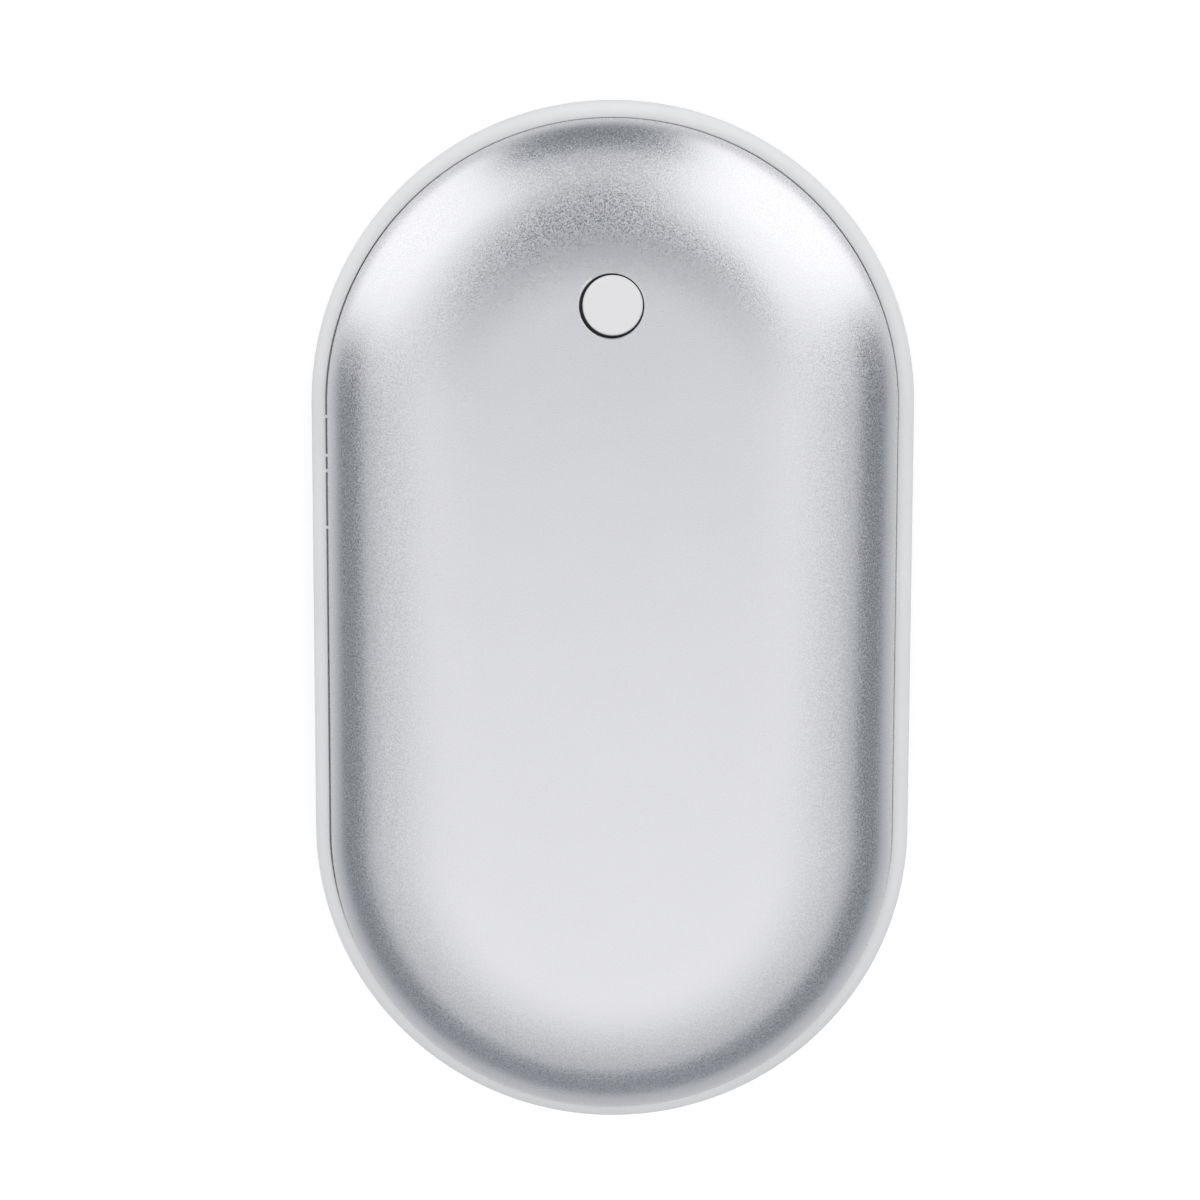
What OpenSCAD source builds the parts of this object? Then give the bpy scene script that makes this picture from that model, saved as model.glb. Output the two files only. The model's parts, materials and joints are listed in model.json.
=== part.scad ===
// Rechargeable hand warmer: two drawn aluminium shells on a plastic band, heated from inside.
// It lies on its back. +Z points out of the face with the button, and +Y to the end with the
// charging inlet. The origin is at the middle of the resting face. All sizes are in millimetres.

/* [Body] */
// Length over the band
body_length = 100; // [98:0.5:130]
// Width over the band
body_width = 58.2; // [57:0.1:72]
// Thickness over the two faces
body_thickness = 27; // [26.5:0.1:34]

/* [Shells] */
// Thickness of the aluminium sheet
shell_wall = 0.8; // [0.6:0.05:1]
// Radius of the shoulder beside the band
shoulder_r = 9; // [7:0.25:10.5]
// Radius of the gentle curve between the shoulder and the flat of the face
crown_r = 24; // [18:1:30]
// Slope in degrees at which the shoulder meets the gentle curve
crown_angle = 20; // [14:1:24]
// Chamfer round the button hole
hole_chamfer = 0.15; // [0.05:0.05:0.25]

/* [Band] */
// Height of the band between the shells
band_height = 6; // [5.4:0.1:7.4]
// How far the band stands out past the seam
band_width = 1.5; // [1:0.1:2.2]
// Rounding of the band's outer edges
band_edge_r = 1.2; // [0.6:0.1:1.4]
// Open seam between the band and a shell
seam_gap = 0.2; // [0.1:0.05:0.4]
// Depth of the groove that a shell's rim stands in
groove_depth = 0.8; // [0.6:0.05:1]
// Thickness of the seal at the groove's floor
seal_height = 0.2; // [0.1:0.05:0.3]
// Thickness of the lip inside the shell's wall
lip_wall = 1.2; // [1:0.1:1.5]
// Height of the lip above the band's edge
lip_rise = 0.9; // [0.6:0.1:1.2]

/* [Button] */
// Distance of the button from the top end of the body
button_inset = 19; // [17.5:0.5:20]
// Diameter of the hole in the front shell
button_hole_d = 6; // [5:0.1:6.2]
// Gap all round the cap in its hole
button_gap = 0.2; // [0.15:0.05:0.4]
// How far the cap sits off the hole's centre to the right
button_shift = 0.1; // [0:0.02:0.1]
// How far the cap stands proud of the face
button_proud = 0.15; // [0:0.05:0.5]
// Travel of the button
button_travel = 0.3; // [0.2:0.05:0.4]
// Diameter of the stem under the cap
stem_d = 3.6; // [3:0.1:4]
// Clearance of the stem in its guide, per side
stem_clearance = 0.1; // [0.05:0.01:0.1]

/* [Battery] */
// Diameter of a cell's can
cell_d = 18.1; // [15:0.1:18.3]
// Length of a cell with its button terminal
cell_length = 65; // [50:0.5:66]
// Thickness of a cell's sleeve
sleeve_wall = 0.15; // [0.1:0.05:0.25]
// Gap between the two cells
cell_gap = 0.3; // [0.2:0.1:1]

/* [Heaters] */
// Thickness of a heater film
heater_thickness = 0.3; // [0.2:0.05:0.5]
// Half of a heater film's width
heater_half_width = 22; // [16:0.5:22]
// Gap between the insulation on a heater and the tape round the cells
insulation_gap = 0.2; // [0.1:0.05:0.5]

/* [Electronics] */
// Thickness of the circuit board
board_thickness = 1.6; // [1:0.2:1.6]
// Width of the charging inlet's metal shell
inlet_width = 8.94; // [8:0.02:10]
// Height of the charging inlet's metal shell
inlet_height = 3.26; // [3:0.02:3.4]
// Length of the charging inlet
inlet_length = 9; // [7:0.5:9.5]
// Side of the square switch
switch_side = 4.5; // [4:0.1:4.6]
// Number of indicator lights beside the inlet
indicator_count = 4; // [2:1:5]

/* [Hidden] */
$fn = 64;
// How far a cutting shape runs past the face that it cuts
over = 1;
// How far a rib or a web is rooted in the ring that it stands on
root = 0.3;

// The outline is a slot shape: half rounds of end_r on straight sides. Heights below are counted
// from the middle of the band, and at_middle() lifts the finished piece to its place.
half_t = body_thickness / 2;
end_r = body_width / 2;
straight = body_length / 2 - end_r;
rim_r = end_r - band_width - seam_gap;
shoulder_x = rim_r - shoulder_r;
flat_r = shoulder_x - (crown_r - shoulder_r) * sin(crown_angle);
crown_z = half_t - crown_r;
shoulder_z = crown_z + (crown_r - shoulder_r) * cos(crown_angle);

// The band's inner parts
lip_gap = 0.1;
lip_r = rim_r - shell_wall - lip_gap;
cavity_r = lip_r - lip_wall;
band_half = band_height / 2;
web_half = band_half - groove_depth;
lip_half = band_half + lip_rise;
rim_z = web_half + seal_height;

// Layers inside a shell, as depths below its outer surface
bond_gap = 0.05;
liner_depth = shell_wall + bond_gap;
liner_wall = 1.2;
heater_depth = shell_wall + bond_gap;
insulation_depth = heater_depth + heater_thickness + bond_gap;

// The two cells, side by side against the back end
sleeve_r = cell_d / 2 + sleeve_wall;
cell_x = sleeve_r + cell_gap / 2;
cell_edge_x = cell_x + sleeve_r;
cell_wall_gap = 0.3;
cell_back_y = -straight - sqrt(pow(cavity_r - cell_wall_gap, 2) - pow(cell_edge_x, 2));
cell_front_y = cell_back_y + cell_length;
terminal_height = 0.5;
terminal_d = 5.5;
crimp_depth = 0.5;
crimp_width = 1.2;
crimp_inset = 4;
sleeve_gap = 0.01;
washer_height = 0.25;
washer_gap = 0.3;
strip_thickness = 0.15;
strip_height = 6;
slit_width = 0.4;
slit_height = 4.4;
strip_front_y = cell_front_y + strip_thickness;
band_tape = 0.2;
band_tape_gap = 0.02;
tape_width = 8;
tape_inset = 17;
saddle_gap = 0.15;
saddle_r = sleeve_r + band_tape_gap + band_tape + saddle_gap;
insulation_end = min(half_t - sleeve_r - band_tape_gap - band_tape - insulation_gap, shoulder_r - 0.5);

// The button and the switch below it
button_y = body_length / 2 - button_inset;
board_top = -inlet_height / 2;
board_bottom = board_top - board_thickness;
board_edge_y = button_y - switch_side / 2 - 0.5;
board_r = cavity_r - 0.4;
button_cap_r = button_hole_d / 2 - button_gap;
cap_edge_r = 0.35;
flange_r = button_hole_d / 2 + 1;
flange_gap = 0.2;
flange_top = half_t - shell_wall - flange_gap;
flange_height = 0.85;
flange_bottom = flange_top - flange_height;
switch_height = 5;
plunger_top = board_top + switch_height;
stem_bottom = plunger_top + 0.05;

// Switch layers above the board
base_height = 3;
well_depth = 0.9;
well_r = 1.75;
cover_thickness = 0.2;
plunger_r = 1.2;
plunger_flange_r = 1.5;
dome_r = 1.6;
dome_sheet = 0.08;
dome_rise = 0.42;
plunger_gap = 0.03;
cover_gap = 0.08;
clip_width = 1.6;
clip_drop = 2;
terminal_foot = 0.9;
terminal_width = 0.7;
terminal_y = 1.4;
terminal_sheet = 0.2;
well_floor = board_top + base_height - well_depth;
dome_top = well_floor + dome_rise;

// The liners
liner_low = lip_half + 0.3;
liner_top = half_t - 4.1;
plate_thickness = 1.2;
plate_y = board_edge_y + 0.8;
guide_wall = 1.4;
guide_r = stem_d / 2 + stem_clearance;
guide_top = flange_bottom - button_travel - 0.4;
guide_bottom = liner_top - plate_thickness - 1.2;
// Two lights shine up past the guide through windows in the plate
glow_x = guide_r + guide_wall + 1.2;
glow_window_r = 1;
glow_size = [0.8, 1.6, 0.6];

// Snap hooks and the ribs that they catch
hook_width = 5;
hook_wall = 1.2;
hook_nose = 0.6;
hook_reach = hook_nose - 0.15;
hook_gap = 0.1;
hook_low = 0.1;
hook_nose_height = 0.9;
rib_low = hook_low + hook_nose_height + 0.15;
rib_height = 1;
rib_half = hook_width / 2 + 0.5;
rib_r = cavity_r - hook_nose;
hook_r = rib_r - hook_gap;
hook_pitch = min(18, straight - hook_width / 2 - 0.1);
// Each place is [turn of the frame, distance along the side or -1 for the round end]
SIDE_PLACES = [for (turn = [0, 180], along = [-hook_pitch, 0, hook_pitch]) [turn, along]];

// Screws: M2 thread-forming, shank, head and pilot
screw_r = 1;
screw_head_r = 1.8;
screw_head_height = 1.3;
pilot_gap = 0.02;
screw_gap = 0.1;
pilot_spare = 0.4;
recess_size = [1.8, 0.4, 0.6];
boss_r = 2.3;
boss_web = 2;
boss_x = cavity_r - 3.1;
boss_y = hook_pitch / 2;
boss_low = -3;
boss_high = 2.2;
ear_thickness = 1.6;
tray_screw_length = 5.6;
board_screw_length = 5;
board_screw_x = 17;
board_screw_y = board_edge_y + 6;
board_post_r = 2.2;

// The tray
tray_low = -sleeve_r + 1.2;
keel_half = 7;
keel_high = -3.2;
rail_in = cell_x + 3;
rail_out = cell_edge_x + 1.6;
rail_back_y = cell_back_y + 6;
wall_thickness = 1.2;
tray_back_y = cell_back_y - strip_thickness - 2.85;
back_wall_half = 12;
partition_y = board_edge_y - 0.15;
apron_low = board_bottom - 3.2;
apron_thickness = 1.2;
apron_r = board_r - 1.9;
tray_depth = liner_depth + liner_wall + 0.3;
ear_in = rail_out - 1;
gate_x = 9.8;
gate_width = 5.2;

// Charging inlet
inlet_wall = 0.3;
inlet_gap = 0.1;
inlet_recess = 0.6;
inlet_front_y = body_length / 2 - inlet_recess;
inlet_back_y = inlet_front_y - inlet_length;
tongue_width = 6.69;
tongue_thickness = 0.7;
tongue_recess = 0.6;
tongue_root = 2.4;
contact_pitch = 0.5;
contact_width = 0.25;
contact_thickness = 0.04;
contact_length = 4.2;
contact_count = 12;
peg_width = 0.8;
peg_thickness = 0.3;
peg_drop = 0.8;
peg_x = inlet_width / 2 - peg_thickness / 2;
peg_slack = 0.3;
PEG_PLACES = [inlet_back_y + 1.5, inlet_back_y + 4.5];
peg_slot = [peg_thickness + peg_slack, peg_width + peg_slack, board_thickness + over];

// Indicator lights and their light pipe, by angle from the +Y axis
indicator_first = 16;
indicator_step = 4.2;
pip_r = 0.6;
pip_gap = 0.05;
pipe_in_r = cavity_r - 1.4;
pipe_out_r = cavity_r - 0.1;
pipe_low = board_top + 0.1;
pipe_high = 1.2;
pipe_margin = 2.6;
light_size = [1, 1.5, 1];
light_r = pipe_in_r - light_size[0] / 2 - 0.25;

// Wires
lead_d = 1.2;
heater_lead_d = 0.9;
heater_lead_pitch = 1.3;
sensor_lead_d = 0.6;
bead_r = 0.9;
wire_sides = 8;
wire_gap = 0.02;
// Middle of the lane in which wires run down between the cells and the button's plate
lane_y = plate_y - 0.75;
// Wires end on the board's pads at landing_y
landing_y = board_edge_y + 2;
lead_on_board = board_top + 0.1;

insulation_half_width = heater_half_width - 2;
heater_front_y = board_edge_y - 4.2;
insulation_front_y = heater_front_y - 3.5;

aluminium = "#c9cbcd";
white_plastic = "#eceded";
black_plastic = "#26282b";
steel = "#aeb2b6";
brass_tone = "#d8b45c";

function lerp(a, b, t) = a * (1 - t) + b * t;
function unit(v) = v / norm(v);
function indicator_angle(i) = indicator_first + indicator_step * i;

// Cuts each corner of an open path, which leaves its two ends where they are
function cut_corners(path) = concat(
    [path[0]],
    [for (i = [0:len(path) - 2]) each [lerp(path[i], path[i + 1], 0.25), lerp(path[i], path[i + 1], 0.75)]],
    [path[len(path) - 1]]
);
function heading(path, i) = unit(path[min(i + 1, len(path) - 1)] - path[max(i - 1, 0)]);
function across(path, i, last) =
    let (ahead = heading(path, i)) unit(last - (last * ahead) * ahead);
// A direction across the path at each point, carried along so that the tube doesn't twist
function carried(path, i = 0, last = [1, 0.3, 0.2], found = []) =
    i == len(path)
        ? found
        : let (now = across(path, i, last)) carried(path, i + 1, now, concat(found, [now]));

module at_middle() {
    translate([0, 0, half_t]) children();
}

// Sweeps a 2D section round the outline. Its x is the distance from the line that joins the centres
// of the two ends, and its y is the height.
module round_outline() {
    for (turn = [0, 180])
        rotate([0, 0, turn]) {
            translate([0, straight, 0]) rotate_extrude(angle = 180) children();
            rotate([90, 0, 0]) linear_extrude(2 * straight, center = true) children();
        }
}

// The filled section under a surface that lies `depth` inside the shell's outer surface, above `low`
module dome_section(depth, low) {
    crown = crown_r - depth;
    reach = crown_r * 1.2;
    slope = [sin(crown_angle), cos(crown_angle)];
    meet = [flat_r, crown_z] + crown * slope;
    intersection() {
        translate([0, low]) square([rim_r, half_t - low]);
        union() {
            polygon([
                [0, low], [rim_r - depth, low], [rim_r - depth, shoulder_z], meet,
                [flat_r, half_t - depth], [0, half_t - depth]
            ]);
            translate([shoulder_x, shoulder_z]) circle(r = shoulder_r - depth);
            intersection() {
                translate([flat_r, crown_z]) circle(r = crown);
                polygon([
                    [flat_r, crown_z], [flat_r, crown_z + reach], [flat_r, crown_z] + reach * slope
                ]);
            }
        }
    }
}

// A layer between two depths, above `low`
module dome_layer(outer, inner, low) {
    round_outline() difference() {
        dome_section(outer, low);
        dome_section(inner, low - over);
    }
}

// A slot-shaped prism with the half round at the back end and a straight edge at front_y
module face_outline(half_width, front_y) {
    translate([0, 0, -half_t]) linear_extrude(2 * half_t) {
        translate([0, -straight]) circle(r = half_width);
        translate([-half_width, -straight]) square([2 * half_width, straight + front_y]);
    }
}

// A prism between two heights with the outline's own shape at radius r
module slot_prism(r, low, high) {
    translate([0, 0, low]) linear_extrude(high - low) {
        for (side = [-1, 1]) translate([0, side * straight]) circle(r = r);
        translate([-r, -straight]) square([2 * r, 2 * straight]);
    }
}

// Box between two corners
module block(a, b) {
    translate(a) cube(b - a);
}

// A slot-shaped prism along Y, as the charging inlet has
module inlet_form(width, height, from_y, to_y) {
    translate([0, to_y, 0]) rotate([90, 0, 0]) linear_extrude(to_y - from_y) {
        for (side = [-1, 1]) translate([side * (width - height) / 2, 0]) circle(d = height);
        square([width - height, height], center = true);
    }
}

// A tube along a path whose corners are cut twice
module wire(points, d) {
    path = cut_corners(cut_corners(points));
    sideways = carried(path);
    last = (len(path) - 1) * wire_sides;
    rings = [
        for (i = [0:len(path) - 1], k = [0:wire_sides - 1])
            let (u = sideways[i], v = cross(heading(path, i), u), a = 360 * k / wire_sides)
                path[i] + d / 2 * (cos(a) * u + sin(a) * v)
    ];
    skin = [
        for (i = [0:len(path) - 2], k = [0:wire_sides - 1])
            let (a = i * wire_sides, b = a + wire_sides, next = (k + 1) % wire_sides)
                [a + k, b + k, b + next, a + next]
    ];
    start_cap = [for (k = [0:wire_sides - 1]) k];
    end_cap = [for (k = [wire_sides - 1:-1:0]) last + k];
    polyhedron(rings, concat(skin, [start_cap, end_cap]));
}

// Places a piece that is modelled along +X at one spot on the side of the outline
module at_side(place) {
    rotate([0, 0, place[0]]) translate([0, place[1], 0]) children();
}

// Places a piece that is modelled along +X on the round back end
module at_back_end() {
    translate([0, -straight, 0]) rotate([0, 0, -90]) children();
}

// Places a piece that is modelled along +X on the round front end, `angle` degrees from +Y
module at_front_end(angle) {
    translate([0, straight, 0]) rotate([0, 0, 90 - angle]) children();
}

module shell_form() {
    dome_layer(0, shell_wall, rim_z);
}

module front_shell() {
    color(aluminium) at_middle() difference() {
        shell_form();
        translate([0, button_y, half_t - 2 * shell_wall]) cylinder(d = button_hole_d, h = 3 * shell_wall);
        translate([0, button_y, half_t - hole_chamfer])
            cylinder(r1 = button_hole_d / 2, r2 = button_hole_d / 2 + 2 * hole_chamfer, h = 2 * hole_chamfer);
    }
}

module back_shell() {
    color(aluminium) at_middle() mirror([0, 0, 1]) shell_form();
}

module band_section() {
    bead_x = rim_r + seam_gap;
    intersection() {
        translate([bead_x, -band_half]) square([band_width, band_height]);
        union() {
            translate([bead_x, -band_half]) square([band_width - band_edge_r, band_height]);
            translate([bead_x, band_edge_r - band_half]) square([band_width, band_height - 2 * band_edge_r]);
            for (side = [-1, 1])
                translate([end_r - band_edge_r, side * (band_half - band_edge_r)]) circle(r = band_edge_r);
        }
    }
    translate([cavity_r, -web_half]) square([bead_x - cavity_r + band_width / 4, 2 * web_half]);
    translate([cavity_r, -lip_half]) square([lip_wall, 2 * lip_half]);
}

module catch_rib() {
    for (side = [-1, 1]) {
        low = side > 0 ? rib_low : -rib_low - rib_height;
        block([rib_r, -rib_half, low], [cavity_r + root, rib_half, low + rib_height]);
    }
}

module screw_boss() {
    difference() {
        union() {
            translate([boss_x, 0, boss_low]) cylinder(r = boss_r, h = boss_high - boss_low);
            block([boss_x, -boss_web / 2, boss_low], [cavity_r + root, boss_web / 2, boss_high]);
        }
        translate([boss_x, 0, boss_low - over])
            cylinder(r = screw_r + pilot_gap, h = tray_screw_length - ear_thickness + over + pilot_spare);
    }
}

module mid_frame() {
    color(white_plastic) at_middle() difference() {
        union() {
            round_outline() band_section();
            for (place = SIDE_PLACES) at_side(place) catch_rib();
            at_back_end() catch_rib();
            for (turn = [0, 180], along = [-boss_y, boss_y]) at_side([turn, along]) screw_boss();
        }
        inlet_form(inlet_width + 2 * inlet_gap, inlet_height + 2 * inlet_gap,
                   inlet_back_y, body_length / 2 + over);
        for (i = [0:indicator_count - 1])
            at_front_end(indicator_angle(i)) translate([cavity_r - over, 0, 0]) rotate([0, 90, 0])
                cylinder(r = pip_r + pip_gap, h = end_r - cavity_r + 2 * over);
    }
}

// The arm hangs from the liner's ring, whose inner surface is further out, so it has a foot there
module snap_hook() {
    block([hook_r - hook_wall, -hook_width / 2, hook_low], [hook_r, hook_width / 2, liner_low + 2]);
    block([hook_r - 0.2, -hook_width / 2, hook_low],
          [hook_r + hook_reach, hook_width / 2, hook_low + hook_nose_height]);
    block([hook_r - hook_wall, -hook_width / 2, liner_low], [cavity_r + 0.4, hook_width / 2, liner_low + 2]);
}

// Ring bonded in a shell's shoulder, a plate over the round front end, and the hooks
module liner_form() {
    round_outline() intersection() {
        difference() {
            dome_section(liner_depth, liner_low);
            dome_section(liner_depth + liner_wall, liner_low - over);
        }
        translate([0, liner_low]) square([rim_r, liner_top - liner_low]);
    }
    intersection() {
        round_outline() intersection() {
            dome_section(liner_depth, liner_low);
            translate([0, liner_top - plate_thickness]) square([rim_r, plate_thickness]);
        }
        block([-end_r, plate_y, 0], [end_r, body_length / 2, half_t]);
    }
    for (place = SIDE_PLACES) at_side(place) snap_hook();
    at_back_end() snap_hook();
}

module front_liner() {
    color(black_plastic) at_middle() difference() {
        union() {
            liner_form();
            translate([0, button_y, guide_bottom])
                cylinder(r = guide_r + guide_wall, h = guide_top - guide_bottom);
        }
        translate([button_shift, button_y, guide_bottom - over])
            cylinder(r = guide_r, h = guide_top - guide_bottom + 2 * over);
        for (side = [-1, 1])
            translate([side * glow_x, button_y, liner_top - plate_thickness - over])
                cylinder(r = glow_window_r, h = plate_thickness + 2 * over);
    }
}

module back_liner() {
    color(black_plastic) at_middle() mirror([0, 0, 1]) liner_form();
}

module seal_form() {
    round_outline() translate([lip_r + 0.05, web_half]) square([shell_wall + 0.15, seal_height]);
}

module front_seal() {
    color("#3a3a3a") at_middle() seal_form();
}

module back_seal() {
    color("#3a3a3a") at_middle() mirror([0, 0, 1]) seal_form();
}

module button_cap() {
    top = half_t + button_proud;
    color("white") at_middle() translate([button_shift, button_y, 0]) rotate_extrude() {
        translate([0, flange_top]) square([button_cap_r, top - cap_edge_r - flange_top]);
        translate([0, flange_top]) square([button_cap_r - cap_edge_r, top - flange_top]);
        intersection() {
            translate([button_cap_r - cap_edge_r, top - cap_edge_r]) circle(r = cap_edge_r);
            translate([0, flange_top]) square([button_cap_r, top - flange_top]);
        }
        translate([0, flange_bottom]) square([flange_r, flange_height]);
        translate([0, stem_bottom]) square([stem_d / 2, flange_bottom - stem_bottom]);
    }
}

module on_switch() {
    at_middle() translate([button_shift, button_y, 0]) children();
}

module switch_base() {
    half = switch_side / 2;
    color(black_plastic) on_switch() difference() {
        block([-half, -half, board_top], [half, half, board_top + base_height]);
        translate([0, 0, well_floor]) cylinder(r = well_r, h = well_depth + over);
    }
}

module switch_cover() {
    half = switch_side / 2;
    low = board_top + base_height;
    color(steel) on_switch() {
        difference() {
            block([-half, -half, low], [half, half, low + cover_thickness]);
            translate([0, 0, low - over]) cylinder(r = plunger_r + cover_gap, h = 3 * over);
        }
        for (side = [-1, 1])
            translate([side * (half + cover_thickness / 2), 0, low + cover_thickness - clip_drop / 2])
                cube([cover_thickness, clip_width, clip_drop], center = true);
    }
}

module switch_plunger() {
    bottom = dome_top + plunger_gap;
    cover_low = board_top + base_height;
    color("#d9d2c0") on_switch() {
        translate([0, 0, bottom]) cylinder(r = plunger_r, h = plunger_top - bottom);
        translate([0, 0, bottom]) cylinder(r = plunger_flange_r, h = cover_low - bottom - plunger_gap);
    }
}

// A shallow cap of a sphere through the dome's rim and its top
module switch_dome() {
    ball_r = (dome_r * dome_r + dome_rise * dome_rise) / (2 * dome_rise);
    color(steel) on_switch() translate([0, 0, well_floor]) rotate_extrude() intersection() {
        translate([0, dome_rise - ball_r]) difference() {
            circle(r = ball_r);
            circle(r = ball_r - dome_sheet);
        }
        square([dome_r, dome_rise]);
    }
}

// Each terminal is a foot on the board and a leg up the side of the base
module switch_terminals() {
    color(steel) on_switch() for (turn = [0, 180], side = [-1, 1])
        rotate([0, 0, turn]) translate([switch_side / 2, side * terminal_y - terminal_width / 2, board_top]) {
            cube([terminal_foot, terminal_width, terminal_sheet]);
            cube([terminal_sheet, terminal_width, terminal_foot]);
        }
}

module circuit_board() {
    color("#1f5a3a") at_middle() difference() {
        intersection() {
            slot_prism(board_r, board_bottom, board_top);
            block([-end_r, board_edge_y, board_bottom - over], [end_r, body_length / 2, board_top + over]);
        }
        for (side = [-1, 1]) {
            translate([side * board_screw_x, board_screw_y, board_bottom - over])
                cylinder(r = screw_r + screw_gap, h = board_thickness + 2 * over);
            for (y = PEG_PLACES)
                translate([side * peg_x, y, (board_top + board_bottom) / 2]) cube(peg_slot, center = true);
        }
    }
}

module board_screws() {
    color(steel) at_middle() for (side = [-1, 1])
        translate([side * board_screw_x, board_screw_y, board_top])
            screw_form(board_screw_length);
}

// A pan-head screw whose head stands up from z = 0 and whose shank goes down, with a cross recess
module screw_form(shank) {
    difference() {
        union() {
            cylinder(r = screw_head_r, h = screw_head_height);
            translate([0, 0, -shank]) cylinder(r = screw_r, h = shank + screw_head_height / 2);
        }
        for (turn = [0, 90])
            rotate([0, 0, turn]) translate([0, 0, screw_head_height])
                cube([recess_size[0], recess_size[1], 2 * recess_size[2]], center = true);
    }
}

module inlet_shell() {
    color(steel) at_middle() {
        difference() {
            inlet_form(inlet_width, inlet_height, inlet_back_y, inlet_front_y);
            inlet_form(inlet_width - 2 * inlet_wall, inlet_height - 2 * inlet_wall,
                       inlet_back_y + inlet_wall, inlet_front_y + over);
        }
        for (side = [-1, 1], y = PEG_PLACES)
            translate([side * peg_x - peg_thickness / 2, y - peg_width / 2, -inlet_height / 2 - peg_drop])
                cube([peg_thickness, peg_width, inlet_height / 2 + peg_drop]);
    }
}

module inlet_tongue() {
    root_y = inlet_back_y + inlet_wall;
    color("#1c1d1f") at_middle() {
        inlet_form(inlet_width - 2 * inlet_wall - 0.04, inlet_height - 2 * inlet_wall - 0.04,
                   root_y, root_y + tongue_root);
        block([-tongue_width / 2, root_y, -tongue_thickness / 2],
              [tongue_width / 2, inlet_front_y - tongue_recess, tongue_thickness / 2]);
    }
}

module inlet_contacts() {
    front = inlet_front_y - tongue_recess - 0.5;
    color(brass_tone) at_middle() for (i = [0:contact_count - 1], side = [-1, 1])
        translate([(i - (contact_count - 1) / 2) * contact_pitch, front - contact_length / 2,
                   side * (tongue_thickness + contact_thickness) / 2])
            cube([contact_width, contact_length, contact_thickness], center = true);
}

// A flat chip body standing on short legs
module chip_body(size, lift) {
    translate([-size[0] / 2, -size[1] / 2, lift]) cube(size);
}

// Bent legs along both long sides of a chip
module chip_legs(size, lift, count, pitch) {
    reach = 1;
    sheet = 0.15;
    width = 0.4;
    for (i = [0:count - 1], side = [0, 180])
        rotate([0, 0, side]) translate([(i - (count - 1) / 2) * pitch, size[1] / 2, 0]) {
            translate([-width / 2, 0, lift + size[2] / 2 - sheet]) cube([width, reach / 2, sheet]);
            translate([-width / 2, reach / 2 - sheet, 0]) cube([width, sheet, lift + size[2] / 2]);
            translate([-width / 2, reach / 2 - sheet, 0]) cube([width, reach / 2 + sheet, sheet]);
        }
}

controller_size = [9.9, 3.9, 1.4];
charger_size = [4.9, 3.9, 1.4];
transistor_size = [2.9, 1.5, 1];
capacitor_size = [2, 1.25, 1.1];
resistor_size = [1.6, 0.8, 0.45];
inductor_side = 6;
inductor_foot = 0.5;
inductor_r = 2.9;
inductor_height = 3;
inductor_dimple = [1.6, 0.2];
chip_lift = 0.1;
leg_pitch = 1.27;
// Places on the board as [x, distance from the board's straight edge, turn]
CONTROLLER_PLACE = [10, 6.2, 0];
CHARGER_PLACE = [-0.6, 8.6, 90];
INDUCTOR_PLACE = [-11.6, 5.4, 0];
TRANSISTOR_PLACES = [[-12, 10.8, 90], [-7.6, 10.8, 90]];
CAPACITOR_PLACES = [
    [6.4, 11, 90], [8.8, 10.9, 90], [-6.4, 14.2, 90], [-8.6, 13.9, 90], [-20.4, 4.6, 90], [19.6, 3.2, 90]
];
RESISTOR_PLACES = [
    [3.8, 8.2, 90], [3.8, 10.6, 90], [-14.7, 10.6, 90], [11.2, 10.9, 90], [-5, 7.4, 90],
    [-16.8, 2.2, 0], [9.4, 2.2, 0], [12.4, 2.2, 0], [15.4, 2.2, 0]
];

module on_board(place) {
    at_middle() translate([place[0], board_edge_y + place[1], board_top]) rotate([0, 0, place[2]]) children();
}

module controller_chip() {
    color(black_plastic) on_board(CONTROLLER_PLACE) chip_body(controller_size, chip_lift);
}

module controller_legs() {
    color(steel) on_board(CONTROLLER_PLACE) chip_legs(controller_size, chip_lift, 8, leg_pitch);
}

module charger_chip() {
    color(black_plastic) on_board(CHARGER_PLACE) chip_body(charger_size, chip_lift);
}

module charger_legs() {
    color(steel) on_board(CHARGER_PLACE) chip_legs(charger_size, chip_lift, 4, leg_pitch);
}

module heater_transistors() {
    color(black_plastic) for (place = TRANSISTOR_PLACES) on_board(place) {
        chip_body(transistor_size, 0);
        chip_legs(transistor_size, 0, 2, 1.9);
    }
}

module power_inductor() {
    color("#4a4c50") on_board(INDUCTOR_PLACE) difference() {
        union() {
            translate([-inductor_side / 2, -inductor_side / 2, 0])
                cube([inductor_side, inductor_side, inductor_foot]);
            cylinder(r = inductor_r, h = inductor_height);
        }
        translate([0, 0, inductor_height - inductor_dimple[1]]) cylinder(r = inductor_dimple[0], h = over);
    }
}

module chip_capacitors() {
    color("#b9a27c") for (place = CAPACITOR_PLACES) on_board(place) chip_body(capacitor_size, 0);
}

module chip_resistors() {
    color("#15161a") for (place = RESISTOR_PLACES) on_board(place) chip_body(resistor_size, 0);
}

module indicator_lights() {
    color("#f1ead2") at_middle() for (i = [0:indicator_count - 1])
        at_front_end(indicator_angle(i)) translate([light_r, 0, board_top + light_size[2] / 2])
            cube(light_size, center = true);
}

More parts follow.
